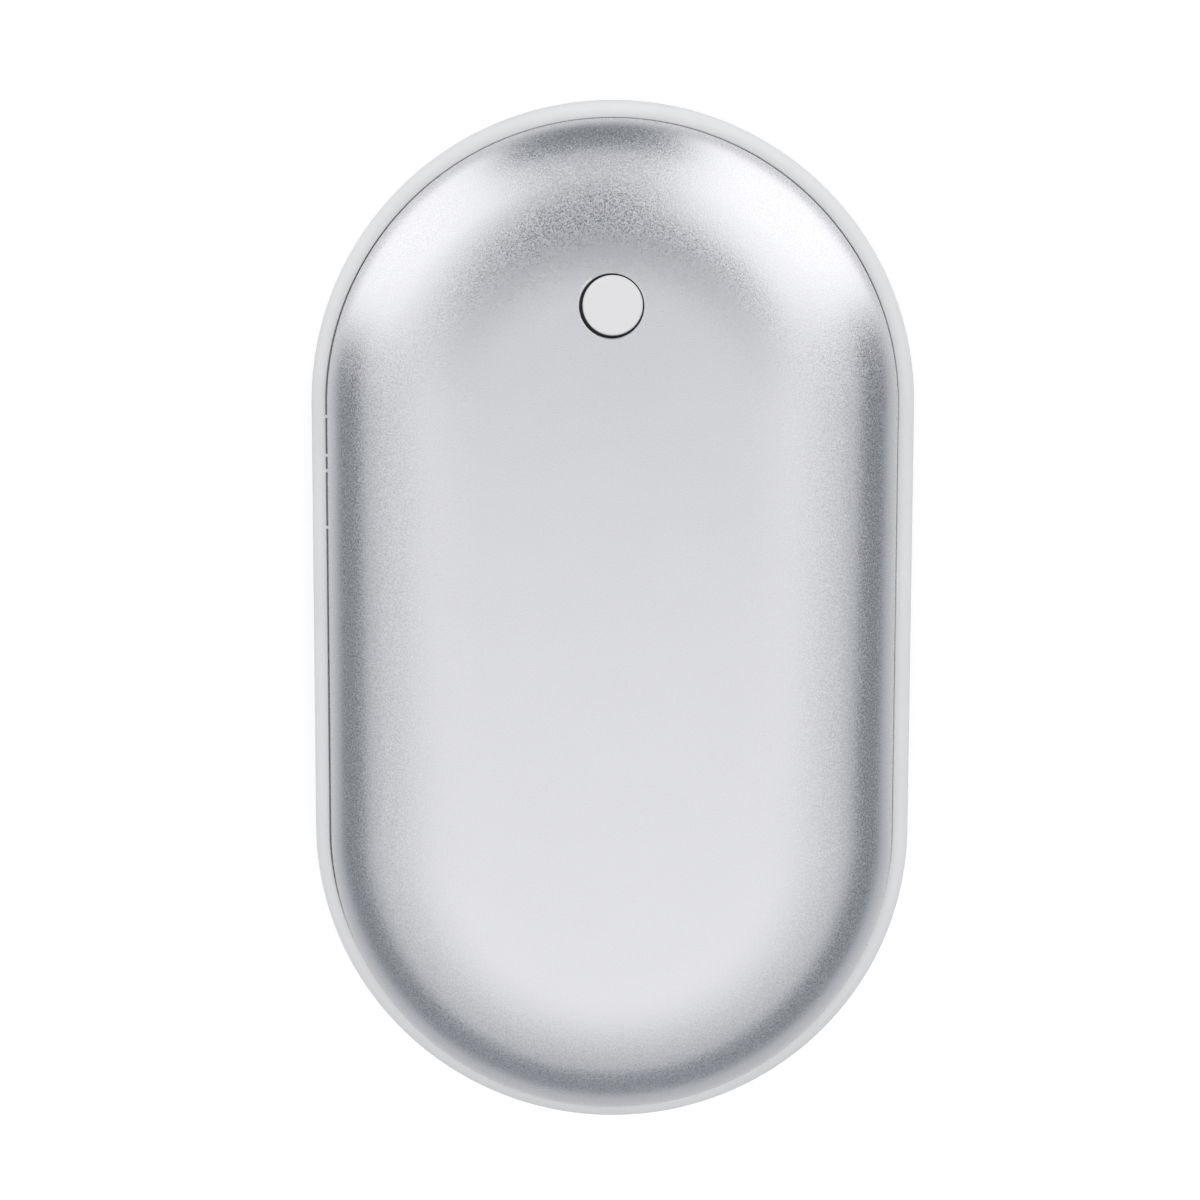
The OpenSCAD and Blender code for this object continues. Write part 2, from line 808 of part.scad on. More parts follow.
// A curved bar with one pip for each light
module light_pipe() {
    half_turn = asin(pipe_margin / 2 / pipe_in_r);
    color("#dfe6ea") at_middle() {
        translate([0, straight, pipe_low])
            rotate([0, 0, 90 - indicator_angle(indicator_count - 1) - half_turn])
                rotate_extrude(angle = indicator_step * (indicator_count - 1) + 2 * half_turn)
                    translate([pipe_in_r, 0]) square([pipe_out_r - pipe_in_r, pipe_high - pipe_low]);
        for (i = [0:indicator_count - 1])
            at_front_end(indicator_angle(i)) translate([pipe_out_r - 0.3, 0, 0]) rotate([0, 90, 0])
                cylinder(r = pip_r, h = end_r - pipe_out_r + 0.3);
    }
}

module button_lights() {
    color("#f1ead2") on_switch() for (side = [-1, 1])
        translate([side * glow_x, 0, board_top + glow_size[2] / 2]) cube(glow_size, center = true);
}

// The space of both cells between two places along the body, grown to radius r
module cell_space(r, from_y, to_y) {
    for (side = [-1, 1])
        translate([side * cell_x, to_y, 0]) rotate([90, 0, 0]) cylinder(r = r, h = to_y - from_y);
}

module tray_ears() {
    low = boss_low - ear_thickness;
    for (turn = [0, 180], along = [-boss_y, boss_y]) at_side([turn, along]) difference() {
        union() {
            translate([boss_x, 0, low]) cylinder(r = boss_r, h = ear_thickness);
            block([ear_in, -boss_r, low], [boss_x, boss_r, boss_low]);
        }
        translate([boss_x, 0, low - over]) cylinder(r = screw_r + screw_gap, h = ear_thickness + 2 * over);
    }
}

// The keel between the cells, the rails beside them and the two cross walls
module tray_frame() {
    tray_front_y = partition_y + wall_thickness;
    rail_front_y = partition_y + 0.1;
    wall_front_y = tray_back_y + wall_thickness;
    intersection() {
        mirror([0, 0, 1]) round_outline() dome_section(tray_depth, -keel_high);
        difference() {
            union() {
                block([-keel_half, tray_back_y, tray_low], [keel_half, rail_front_y, keel_high]);
                block([-back_wall_half, tray_back_y, tray_low], [back_wall_half, wall_front_y, keel_high]);
            }
            cell_space(saddle_r, wall_front_y, partition_y);
        }
    }
    difference() {
        union() {
            for (side = [0, 1]) mirror([side, 0, 0])
                block([rail_in, rail_back_y, tray_low], [rail_out, rail_front_y, boss_low]);
            block([-rail_out, partition_y, tray_low], [rail_out, tray_front_y, board_bottom]);
        }
        cell_space(saddle_r, tray_back_y, partition_y);
        block([gate_x - gate_width / 2, partition_y - over, tray_low - over],
              [gate_x + gate_width / 2, tray_front_y + over, 0]);
    }
}

// The floor under the board with its two screw posts
module tray_apron() {
    difference() {
        union() {
            intersection() {
                slot_prism(apron_r, apron_low, apron_low + apron_thickness);
                block([-end_r, partition_y, apron_low], [end_r, body_length / 2, board_bottom]);
            }
            for (side = [-1, 1])
                translate([side * board_screw_x, board_screw_y, apron_low])
                    cylinder(r = board_post_r, h = board_bottom - apron_low);
        }
        for (side = [-1, 1])
            translate([side * board_screw_x, board_screw_y, apron_low - over])
                cylinder(r = screw_r + pilot_gap, h = board_bottom - apron_low + 2 * over);
        block([gate_x - gate_width / 2, partition_y - over, apron_low - over],
              [gate_x + gate_width / 2, partition_y + 2 * wall_thickness, board_bottom]);
    }
}

module cell_tray() {
    color(black_plastic) at_middle() {
        tray_frame();
        tray_apron();
        tray_ears();
    }
}

module tray_screws() {
    color(steel) at_middle() for (turn = [0, 180], along = [-boss_y, boss_y])
        at_side([turn, along]) translate([boss_x, 0, boss_low - ear_thickness]) mirror([0, 0, 1])
            screw_form(tray_screw_length);
}

module along_cell(side) {
    at_middle() translate([side * cell_x, cell_back_y, 0]) rotate([-90, 0, 0]) children();
}

// A plain can with a groove under its crimped end, and its raised terminal
module cell_form() {
    can = cell_length - terminal_height;
    difference() {
        cylinder(d = cell_d, h = can);
        translate([0, 0, can - crimp_inset]) difference() {
            cylinder(d = cell_d + over, h = crimp_width);
            translate([0, 0, -over]) cylinder(d = cell_d - 2 * crimp_depth, h = crimp_width + 2 * over);
        }
    }
    cylinder(d = terminal_d, h = cell_length);
}

module left_cell() {
    color(steel) along_cell(-1) cell_form();
}

module right_cell() {
    color(steel) along_cell(1) cell_form();
}

module cell_sleeves() {
    color("#2f7fb8") for (side = [-1, 1]) along_cell(side) difference() {
        cylinder(r = sleeve_r, h = cell_length - terminal_height);
        translate([0, 0, -over]) cylinder(r = cell_d / 2 + sleeve_gap, h = cell_length + over);
    }
}

module cell_insulators() {
    color("#e9e4d4") for (side = [-1, 1]) along_cell(side)
        translate([0, 0, cell_length - terminal_height]) difference() {
            cylinder(r = cell_d / 2 - crimp_depth, h = washer_height);
            translate([0, 0, -over]) cylinder(r = terminal_d / 2 + washer_gap, h = washer_height + 2 * over);
        }
}

module strip_form(y) {
    reach = cell_x + terminal_d / 2;
    at_middle() difference() {
        block([-reach, y, -strip_height / 2], [reach, y + strip_thickness, strip_height / 2]);
        for (side = [-1, 1])
            translate([side * cell_x, y, 0])
                cube([slit_width, 4 * strip_thickness, slit_height], center = true);
    }
}

module positive_strip() {
    color("#c9c4b8") strip_form(cell_front_y);
}

module negative_strip() {
    color("#c9c4b8") strip_form(cell_back_y - strip_thickness);
}

// Tape round both cells, which also takes in the tray's keel
module pack_bands() {
    inner = sleeve_r + band_tape_gap;
    color("#d9b24a") at_middle() for (y = [cell_back_y + tape_inset, cell_front_y - tape_inset])
        translate([0, y + tape_width / 2, 0]) rotate([90, 0, 0]) linear_extrude(tape_width) difference() {
            slot_section(inner + band_tape);
            slot_section(inner);
        }
}

module slot_section(r) {
    for (side = [-1, 1]) translate([side * cell_x, 0]) circle(r = r);
    translate([-cell_x, -r]) square([2 * cell_x, 2 * r]);
}

module positive_lead() {
    r = lead_d / 2;
    x = -6.7;
    face_y = strip_front_y + r + wire_gap;
    color("#b3261e") at_middle() wire([
        [x, face_y, 2.6], [x, face_y, 1.2], [x, face_y, -0.2], [x, landing_y - 1, lead_on_board + r],
        [x, landing_y + 0.6, lead_on_board + r]
    ], lead_d);
}

// Runs up the back of the strip, along the upper valley between the cells and down beside the switch
module negative_lead() {
    r = lead_d / 2;
    x = 6.4;
    back_y = cell_back_y - strip_thickness - r - wire_gap;
    valley_z = 4.4;
    color("#1a1a1c") at_middle() wire([
        [0, back_y, -2], [0, back_y, 1], [0, back_y, valley_z], [0, cell_back_y + 2, valley_z],
        [0, cell_back_y + 12, valley_z], [0, 0, valley_z], [0, cell_front_y - 8, valley_z],
        [-0.2, cell_front_y + 0.1, valley_z + 0.2], [3, lane_y + 0.2, valley_z - 0.8],
        [x - 0.8, lane_y + 0.5, 1.8],
        [x, landing_y - 1.2, lead_on_board + r], [x, landing_y + 0.3, lead_on_board + r]
    ], lead_d);
}

module heater_form() {
    intersection() {
        dome_layer(heater_depth, heater_depth + heater_thickness, 0);
        face_outline(heater_half_width, heater_front_y);
    }
}

module front_heater() {
    color("#c5762b") at_middle() heater_form();
}

module back_heater() {
    color("#c5762b") at_middle() mirror([0, 0, 1]) heater_form();
}

// The pad is hollowed over the cells' ends, where the dome comes down to them
module insulation_form() {
    difference() {
        intersection() {
            dome_layer(insulation_depth, insulation_end, 0);
            face_outline(insulation_half_width, insulation_front_y);
        }
        cell_space(saddle_r, cell_back_y - saddle_gap, cell_back_y + 2 * sleeve_r);
    }
}

module front_insulation() {
    color("#e6e3da") at_middle() insulation_form();
}

module back_insulation() {
    color("#e6e3da") at_middle() mirror([0, 0, 1]) insulation_form();
}

// Two leads of a heater: off the film, along it and down the lane to the board
module heater_pair(direction, target_z) {
    start_z = half_t - heater_depth - heater_thickness - heater_lead_d / 2 - wire_gap;
    for (side = [-1, 1]) {
        x = direction * (gate_x + side * heater_lead_pitch / 2);
        wire([
            [x, insulation_front_y + 0.7, start_z], [x, heater_front_y - 1, start_z],
            [x, lane_y - 1.2, start_z - 0.1], [x, lane_y, start_z - 1.6], [x, lane_y, 6],
            [x, lane_y, target_z + 2.6], [x, lane_y + 0.3, target_z + 0.2], [x, landing_y, target_z]
        ], heater_lead_d);
    }
}

module front_leads() {
    color("#e8e6e1") at_middle() heater_pair(-1, lead_on_board + heater_lead_d / 2);
}

module back_leads() {
    color("#e8e6e1") at_middle() mirror([0, 0, 1])
        heater_pair(1, 0.1 - board_bottom + heater_lead_d / 2);
}

// A glass bead on each film with its twisted pair run down beside the heater's leads
module sensor_form(direction, target_z) {
    bead_z = half_t - heater_depth - heater_thickness - bead_r - wire_gap;
    x = direction * (gate_x - 2.1);
    bead_y = insulation_front_y + 1.4;
    translate([x, bead_y, bead_z]) sphere(r = bead_r);
    wire([
        [x, bead_y, bead_z], [x, heater_front_y - 0.5, bead_z], [x, lane_y - 0.9, bead_z - 0.3],
        [x, lane_y, bead_z - 1.8], [x, lane_y, 6], [x, lane_y, target_z + 2.4],
        [x, lane_y + 0.3, target_z + 0.2], [x, landing_y - 0.4, target_z]
    ], sensor_lead_d);
}

module heat_sensors() {
    color("#8a4b2a") at_middle() {
        sensor_form(-1, lead_on_board + sensor_lead_d / 2);
        mirror([0, 0, 1]) sensor_form(1, 0.1 - board_bottom + sensor_lead_d / 2);
    }
}

front_shell();
back_shell();
mid_frame();
front_liner();
back_liner();
front_seal();
back_seal();
button_cap();
switch_base();
switch_cover();
switch_plunger();
switch_dome();
switch_terminals();
circuit_board();
board_screws();
inlet_shell();
inlet_tongue();
inlet_contacts();
controller_chip();
controller_legs();
charger_chip();
charger_legs();
heater_transistors();
power_inductor();
chip_capacitors();
chip_resistors();
indicator_lights();
light_pipe();
button_lights();
cell_tray();
tray_screws();
left_cell();
right_cell();
cell_sleeves();
cell_insulators();
positive_strip();
negative_strip();
pack_bands();
positive_lead();
negative_lead();
front_heater();
back_heater();
front_insulation();
back_insulation();
front_leads();
back_leads();
heat_sensors();
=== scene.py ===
"""A rechargeable hand warmer: two blasted aluminium shells on a white band, dressed round its frame."""

import json
import logging
import math
from dataclasses import dataclass
from enum import Enum
from functools import partialmethod
from typing import Any, Callable, Iterable, Optional, Sequence, Union

import bmesh
import bpy
from mathutils import Matrix, Vector, noise

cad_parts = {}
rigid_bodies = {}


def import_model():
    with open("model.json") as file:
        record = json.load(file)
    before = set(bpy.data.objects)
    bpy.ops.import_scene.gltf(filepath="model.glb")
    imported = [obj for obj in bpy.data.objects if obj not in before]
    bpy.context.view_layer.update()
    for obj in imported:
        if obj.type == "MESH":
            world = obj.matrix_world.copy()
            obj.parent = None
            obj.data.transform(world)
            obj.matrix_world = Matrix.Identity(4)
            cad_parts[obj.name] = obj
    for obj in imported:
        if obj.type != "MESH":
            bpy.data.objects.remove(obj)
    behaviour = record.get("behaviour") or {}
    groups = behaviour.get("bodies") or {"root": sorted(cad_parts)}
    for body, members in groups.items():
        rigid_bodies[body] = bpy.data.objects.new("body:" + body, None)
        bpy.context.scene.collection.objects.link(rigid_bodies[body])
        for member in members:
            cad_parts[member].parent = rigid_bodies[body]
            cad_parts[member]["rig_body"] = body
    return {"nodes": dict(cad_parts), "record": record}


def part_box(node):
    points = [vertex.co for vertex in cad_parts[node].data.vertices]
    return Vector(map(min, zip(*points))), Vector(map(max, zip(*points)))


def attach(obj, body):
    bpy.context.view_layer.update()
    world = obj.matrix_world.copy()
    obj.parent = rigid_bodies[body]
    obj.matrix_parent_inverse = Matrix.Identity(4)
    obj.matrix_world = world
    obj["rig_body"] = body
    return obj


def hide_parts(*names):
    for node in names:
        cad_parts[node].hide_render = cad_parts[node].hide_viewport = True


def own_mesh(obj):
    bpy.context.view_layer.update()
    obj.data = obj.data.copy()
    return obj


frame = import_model()
LOG = logging.getLogger("hand_warmer")
MM = 0.001
Colour = tuple[float, float, float]
Point2 = tuple[float, float]
Point = Sequence[float]

# Places that several pieces share, in millimetres: the height of the plane between the shells, half the
# straight side, the top of the circuit board, the tray's screws and the back end of the cells.
MIDDLE = 13.5
HALF_STRAIGHT = 20.9
BOARD_TOP = 11.87
BOSS_X = 22.2
BOSS_Y = 9.0
CELL_BACK_Y = -37.66


class Side(Enum):
    """The two faces of the warmer, by the sign of their direction along Z."""

    FRONT = 1
    BACK = -1


class Skin(Enum):
    """How the surface of a moulded piece was finished in its tool."""

    POLISHED = "polished"
    SATIN = "satin"
    SPARKED = "sparked"


class Field:
    """A number that varies over a surface. Python's operators on it add Math nodes to its graph."""

    def __init__(self, graph: "Graph", socket: bpy.types.NodeSocket) -> None:
        """Keeps the socket and the graph that it belongs to."""
        self.graph = graph
        self.socket = socket

    def math(self, operation: str, *others: "Number", first: Optional["Number"] = None) -> "Field":
        """Adds one Math node.

        Args:
            operation: the node's operation.
            others: the operands after this one.
            first: an operand that stands before this one.

        Returns:
            The node's result.
        """
        operands = [self, *others] if first is None else [first, self]
        made = self.graph.node("ShaderNodeMath", {"operation": operation}, dict(enumerate(operands)))
        return Field(self.graph, made.outputs[0])

    __add__ = __radd__ = partialmethod(math, "ADD")
    __sub__ = partialmethod(math, "SUBTRACT")
    __mul__ = __rmul__ = partialmethod(math, "MULTIPLY")
    __truediv__ = partialmethod(math, "DIVIDE")
    __pow__ = partialmethod(math, "POWER")
    size = partialmethod(math, "ABSOLUTE")

    def __rsub__(self, other: "Number") -> "Field":
        """Difference, with this field as the second operand."""
        return self.math("SUBTRACT", first=other)

    def sine(self) -> "Field":
        """Sine of an angle in degrees."""
        return (self * math.radians(1)).math("SINE")

    def cosine(self) -> "Field":
        """Cosine of an angle in degrees."""
        return (self * math.radians(1)).math("COSINE")

    def lane(self, pitch: float) -> "Field":
        """How far a place lies from the middle of its lane, with lanes counted from the 50th below."""
        return ((self / pitch + 50.0).math("FRACT") - 0.5).size()

    def ramp(self, low: float, high: float, to_low: float = 0.0, to_high: float = 1.0) -> "Field":
        """A smooth step from one value at its low end to another at its high end."""
        made = self.graph.node(
            "ShaderNodeMapRange", {"interpolation_type": "SMOOTHSTEP"},
            {"Value": self, "From Min": low, "From Max": high, "To Min": to_low, "To Max": to_high},
        )
        return Field(self.graph, made.outputs["Result"])


Number = Union[Field, float]


class Graph:
    """A node tree under construction."""

    def __init__(self, tree: bpy.types.NodeTree) -> None:
        """Empties the tree."""
        self.tree = tree
        tree.nodes.clear()

    def node(self, kind: str, settings: Optional[dict[str, Any]] = None,
             sockets: Optional[dict[Union[str, int], Any]] = None) -> bpy.types.Node:
        """Adds one node of any type.

        Args:
            kind: the node's type.
            settings: its properties, which are set first.
            sockets: values or links for its inputs, by name or number.

        Returns:
            The node.
        """
        made = self.tree.nodes.new(kind)
        for name, value in (settings or {}).items():
            setattr(made, name, value)
        for key, value in (sockets or {}).items():
            self.feed(made.inputs[key], value)
        return made

    def feed(self, target: bpy.types.NodeSocket, value: Any) -> None:
        """Links a field or a socket to an input, or sets the input's own value."""
        if isinstance(value, Field):
            value = value.socket
        if isinstance(value, bpy.types.NodeSocket):
            self.tree.links.new(value, target)
        elif isinstance(value, (tuple, list)) and len(value) == 3 and target.type == "RGBA":
            target.default_value = (*value, 1.0)
        else:
            target.default_value = value

    def principled(self, inputs: dict[str, Any]) -> None:
        """Ends a material's tree with one Principled shader."""
        shader = self.node("ShaderNodeBsdfPrincipled", sockets=inputs)
        self.node("ShaderNodeOutputMaterial", sockets={"Surface": shader.outputs[0]})

    def place(self) -> bpy.types.NodeSocket:
        """The Object coordinates of a surface."""
        return self.node("ShaderNodeTexCoord").outputs["Object"]

    def split(self, vector: bpy.types.NodeSocket) -> tuple[Field, Field, Field]:
        """The three parts of a vector."""
        made = self.node("ShaderNodeSeparateXYZ", sockets={0: vector})
        across, along, up = (Field(self, made.outputs[i]) for i in range(3))
        return across, along, up

    def axes(self) -> tuple[Field, Field, Field]:
        """The Object coordinates as three fields, in metres."""
        return self.split(self.place())

    def height(self) -> Field:
        """How far a place lies from the plane between the shells, in metres."""
        return (self.axes()[2] - MIDDLE * MM).size()

    def mark(self, name: str) -> Field:
        """An attribute that a piece's mesh carries."""
        return Field(self, self.node("ShaderNodeAttribute", {"attribute_name": name}).outputs["Fac"])

    def noise(self, size: float, detail: float = 2.0, stretch: Optional[Point] = None) -> Field:
        """A noise of one feature size.

        Args:
            size: the size of its features in metres.
            detail: how many finer layers it has.
            stretch: how many times longer its features are along each axis.

        Returns:
            The noise, about 0.5 on average.
        """
        at = self.place()
        if stretch is not None:
            scale = tuple(1.0 / s for s in stretch)
            at = self.node("ShaderNodeMapping", sockets={"Vector": at, "Scale": scale}).outputs[0]
        made = self.node("ShaderNodeTexNoise",
                         sockets={"Vector": at, "Scale": 1.0 / size, "Detail": detail})
        return Field(self, made.outputs["Fac"])

    def blend(self, share: Number, first: Any, second: Any) -> bpy.types.NodeSocket:
        """A mix of two colours or colour sockets, of which the share is the second's."""
        return self.node("ShaderNodeMix", {"data_type": "RGBA"}, {0: share, 6: first, 7: second}).outputs[2]

    def bump(self, height: Field, depth: float) -> bpy.types.NodeSocket:
        """A normal bumped by a height from 0 to 1, which lie a depth in metres apart."""
        sockets = {"Strength": 1.0, "Distance": depth, "Height": height}
        return self.node("ShaderNodeBump", sockets=sockets).outputs[0]


@dataclass(frozen=True)
class Finish:
    """What one material slot looks like. Each kind of finish fills in the shader's varying inputs."""

    slot: str
    colour: Colour
    roughness: float = 0.5

    def inputs(self, graph: Graph) -> dict[str, Any]:
        """The Principled shader's inputs, by name."""
        return {"Base Color": self.colour, "Roughness": self.roughness}

    def shade(self, share: float) -> Colour:
        """The colour at a share of its brightness."""
        return tuple(min(1.0, share * c) for c in self.colour)

    def material(self) -> bpy.types.Material:
        """The slot's material, made on its first use."""
        name = f"{self.slot}_finish"
        made = bpy.data.materials.get(name)
        if made is None:
            made = bpy.data.materials.new(name)
            made.use_nodes = True
            graph = Graph(made.node_tree)
            graph.principled(self.inputs(graph))
        return made


@dataclass(frozen=True)
class BlastedAluminium(Finish):
    """Bead-blasted and clear anodised sheet. The pits open up where the sheet was drawn over the shoulder."""

    pit: float = 0.15 * MM
    pit_depth: float = 0.008 * MM
    flat_z: float = 13.45 * MM
    drawn_z: float = 12.9 * MM
    speckle: float = 0.13
    scatter: float = 0.6

    def inputs(self, graph: Graph) -> dict[str, Any]:
        """Metal with pits that scatter light and a slow drift of tone."""
        drawn = graph.height().ramp(self.drawn_z, self.flat_z, 1.0, 0.3)
        pits = graph.noise(self.pit, detail=1.0)
        drift = graph.noise(9 * MM, detail=1.0)
        dark, light = self.shade(1 - self.speckle), self.shade(1 + self.speckle)
        speckled = graph.blend(pits.ramp(0.22, 0.78), dark, light)
        toned = graph.blend(drift.ramp(0.35, 0.65, 0.985, 1.0), (0.0, 0.0, 0.0), self.colour)
        return {
            "Base Color": graph.blend(drawn, toned, speckled),
            "Metallic": 1.0,
            "Roughness": self.roughness + self.scatter * drawn * (pits - 0.5) + 0.02 * (drift - 0.5),
            "Normal": graph.bump(pits, self.pit_depth),
        }


@dataclass(frozen=True)
class Moulding(Finish):
    """Injection-moulded plastic with the skin that its tool gave it."""

    skin: Skin = Skin.SATIN
    glow: float = 0.0

    def inputs(self, graph: Graph) -> dict[str, Any]:
        """Plastic whose texture depends on its skin, with a slow drift of tone."""
        size, depth, spread = {
            Skin.POLISHED: (1.2 * MM, 0.0004 * MM, 0.04),
            Skin.SATIN: (0.12 * MM, 0.0011 * MM, 0.07),
            Skin.SPARKED: (0.2 * MM, 0.006 * MM, 0.12),
        }[self.skin]
        texture = graph.noise(size)
        drift = graph.noise(14 * MM)
        return {
            "Base Color": graph.blend(drift.ramp(0.35, 0.65), self.shade(0.965), self.colour),
            "Roughness": self.roughness + spread * (texture - 0.5),
            "Subsurface Weight": self.glow,
            "Subsurface Radius": (1.0, 0.95, 0.9),
            "Subsurface Scale": 0.6 * MM,
            "Normal": graph.bump(texture, depth),
        }


@dataclass(frozen=True)
class ShadeFootMoulding(Moulding):
    """A pale moulding whose foot, below a set height, is painted near-black: painted shade for the gap round
    the button and under the shell.
    """

    # Painted shade: a near-black that stands in for the shadow in the gap round the cap.
    foot: Colour = (0.012, 0.012, 0.013)
    shade_start_z: float = 26.45 * MM

    def inputs(self, graph: Graph) -> dict[str, Any]:
        """The head's skin, with near-black painted shade below a set height."""
        made = super().inputs(graph)
        # Below this height the cap is painted with shade, as dark as the gap round it.
        head = graph.axes()[2].ramp(self.shade_start_z - 0.02 * MM, self.shade_start_z + 0.02 * MM)
        return {**made, "Base Color": graph.blend(head, self.foot, made["Base Color"])}


@dataclass(frozen=True)
class SheetMetal(Finish):
    """Rolled, drawn or plated metal with fine lines along one axis."""

    lines: Point = (1.0, 24.0, 1.0)
    line_depth: float = 0.0012 * MM

    def inputs(self, graph: Graph) -> dict[str, Any]:
        """Metal with drawn lines and a few dull patches."""
        lines = graph.noise(0.05 * MM, stretch=self.lines)
        patches = graph.noise(2.2 * MM, detail=3.0)
        return {
            "Base Color": graph.blend(patches.ramp(0.42, 0.7), self.colour, self.shade(0.86)),
            "Metallic": 1.0,
            "Roughness": self.roughness + 0.14 * (lines - 0.5) + 0.1 * patches.ramp(0.5, 0.75),
            "Normal": graph.bump(lines, self.line_depth),
        }


@dataclass(frozen=True)
class TinnedCeramic(Finish):
    """A chip part with tinned ends, which its mesh marks with the attribute "tinned"."""

    tin: Colour = (0.68, 0.68, 0.65)

    def inputs(self, graph: Graph) -> dict[str, Any]:
        """Fired ceramic between two metal caps."""
        ends = graph.mark("tinned").ramp(0.45, 0.55)
        grain = graph.noise(0.25 * MM, detail=3.0)
        ceramic = graph.blend(grain.ramp(0.35, 0.65), self.shade(0.85), self.colour)
        return {
            "Base Color": graph.blend(ends, ceramic, self.tin),
            "Metallic": ends,
            "Roughness": self.roughness - 0.1 * ends + 0.1 * (grain - 0.5),
            "Normal": graph.bump(grain, 0.004 * MM),
        }


@dataclass(frozen=True)
class EtchedFilm(Finish):
    """Amber film with an etched foil track inside, laid to and fro along the body."""

    foil: Colour = (0.62, 0.42, 0.2)
    pitch: float = 1.6 * MM
    heated_z: float = 9.9 * MM

    def inputs(self, graph: Graph) -> dict[str, Any]:
        """Glossy film over a raised track, which the plain tape round the cells has not got."""
        heated = graph.height().ramp(self.heated_z - 0.2 * MM, self.heated_z + 0.2 * MM)
        track = graph.axes()[0].lane(self.pitch).ramp(0.26, 0.31, 1.0, 0.0) * heated
        ripple = graph.noise(3 * MM)
        return {
            "Base Color": graph.blend(track, self.colour, self.foil),
            "Metallic": 0.55 * track,
            "Roughness": self.roughness + 0.12 * (ripple - 0.5),
            "Normal": graph.bump(track + 0.4 * ripple, 0.03 * MM),
        }


@dataclass(frozen=True)
class MaskedBoard(Finish):
    """Glass-fibre board under solder mask, with copper tracks that show through it."""

    track: Colour = (0.02, 0.17, 0.08)
    edge: Colour = (0.42, 0.4, 0.2)
    half_thickness: float = 0.8 * MM
    pitch: float = 0.8 * MM

    def inputs(self, graph: Graph) -> dict[str, Any]:
        """Tracks in two directions on the faces, bare glass fibre on the sides."""
        across, along, up = graph.axes()
        choice = graph.noise(5 * MM, detail=0.0).ramp(0.49, 0.51)
        lines = [axis.lane(self.pitch).ramp(0.15, 0.18, 1.0, 0.0) for axis in (across, along)]
        copper = graph.noise(2.4 * MM).ramp(0.46, 0.5)
        tracks = (lines[0] * choice + lines[1] * (1.0 - choice)) * copper
        depth = (up - (BOARD_TOP * MM - self.half_thickness)).size() / self.half_thickness
        side = depth.ramp(0.94, 0.97, 1.0, 0.0)
        faces = graph.blend(tracks, self.colour, self.track)
        return {
            "Base Color": graph.blend(side, faces, self.edge),
            "Roughness": self.roughness + 0.35 * side,
            "Normal": graph.bump(tracks, 0.02 * MM),
        }


@dataclass(frozen=True)
class Felt(Finish):
    """Needled fibre pad: matt, cloudy, with fibres that lie all ways."""

    def inputs(self, graph: Graph) -> dict[str, Any]:
        """Soft pad with crossing fibres."""
        fibres, crossing = (graph.noise(0.12 * MM, detail=4.0, stretch=way)
                            for way in ((7.0, 1.0, 1.0), (1.0, 7.0, 1.0)))
        clouds = graph.noise(3 * MM, detail=3.0)
        nap = 0.5 * (fibres + crossing)
        return {
            "Base Color": graph.blend((nap + clouds).ramp(0.75, 1.2), self.shade(0.8), self.colour),
            "Roughness": self.roughness,
            "Sheen Weight": 0.4,
            "Normal": graph.bump(nap, 0.12 * MM),
        }


@dataclass(frozen=True)
class ShrinkFilm(Finish):
    """Thin coloured film shrunk on to a cell, with faint lengthwise pulls."""

    def inputs(self, graph: Graph) -> dict[str, Any]:
        """Glossy film with long faint ripples."""
        pulls = graph.noise(0.6 * MM, stretch=(1.0, 14.0, 1.0))
        clouds = graph.noise(5 * MM)
        return {
            "Base Color": graph.blend(clouds.ramp(0.35, 0.65), self.shade(0.8), self.colour),
            "Roughness": self.roughness + 0.1 * (pulls - 0.5),
            "Coat Weight": 0.3,
            "Normal": graph.bump(pulls, 0.012 * MM),
        }


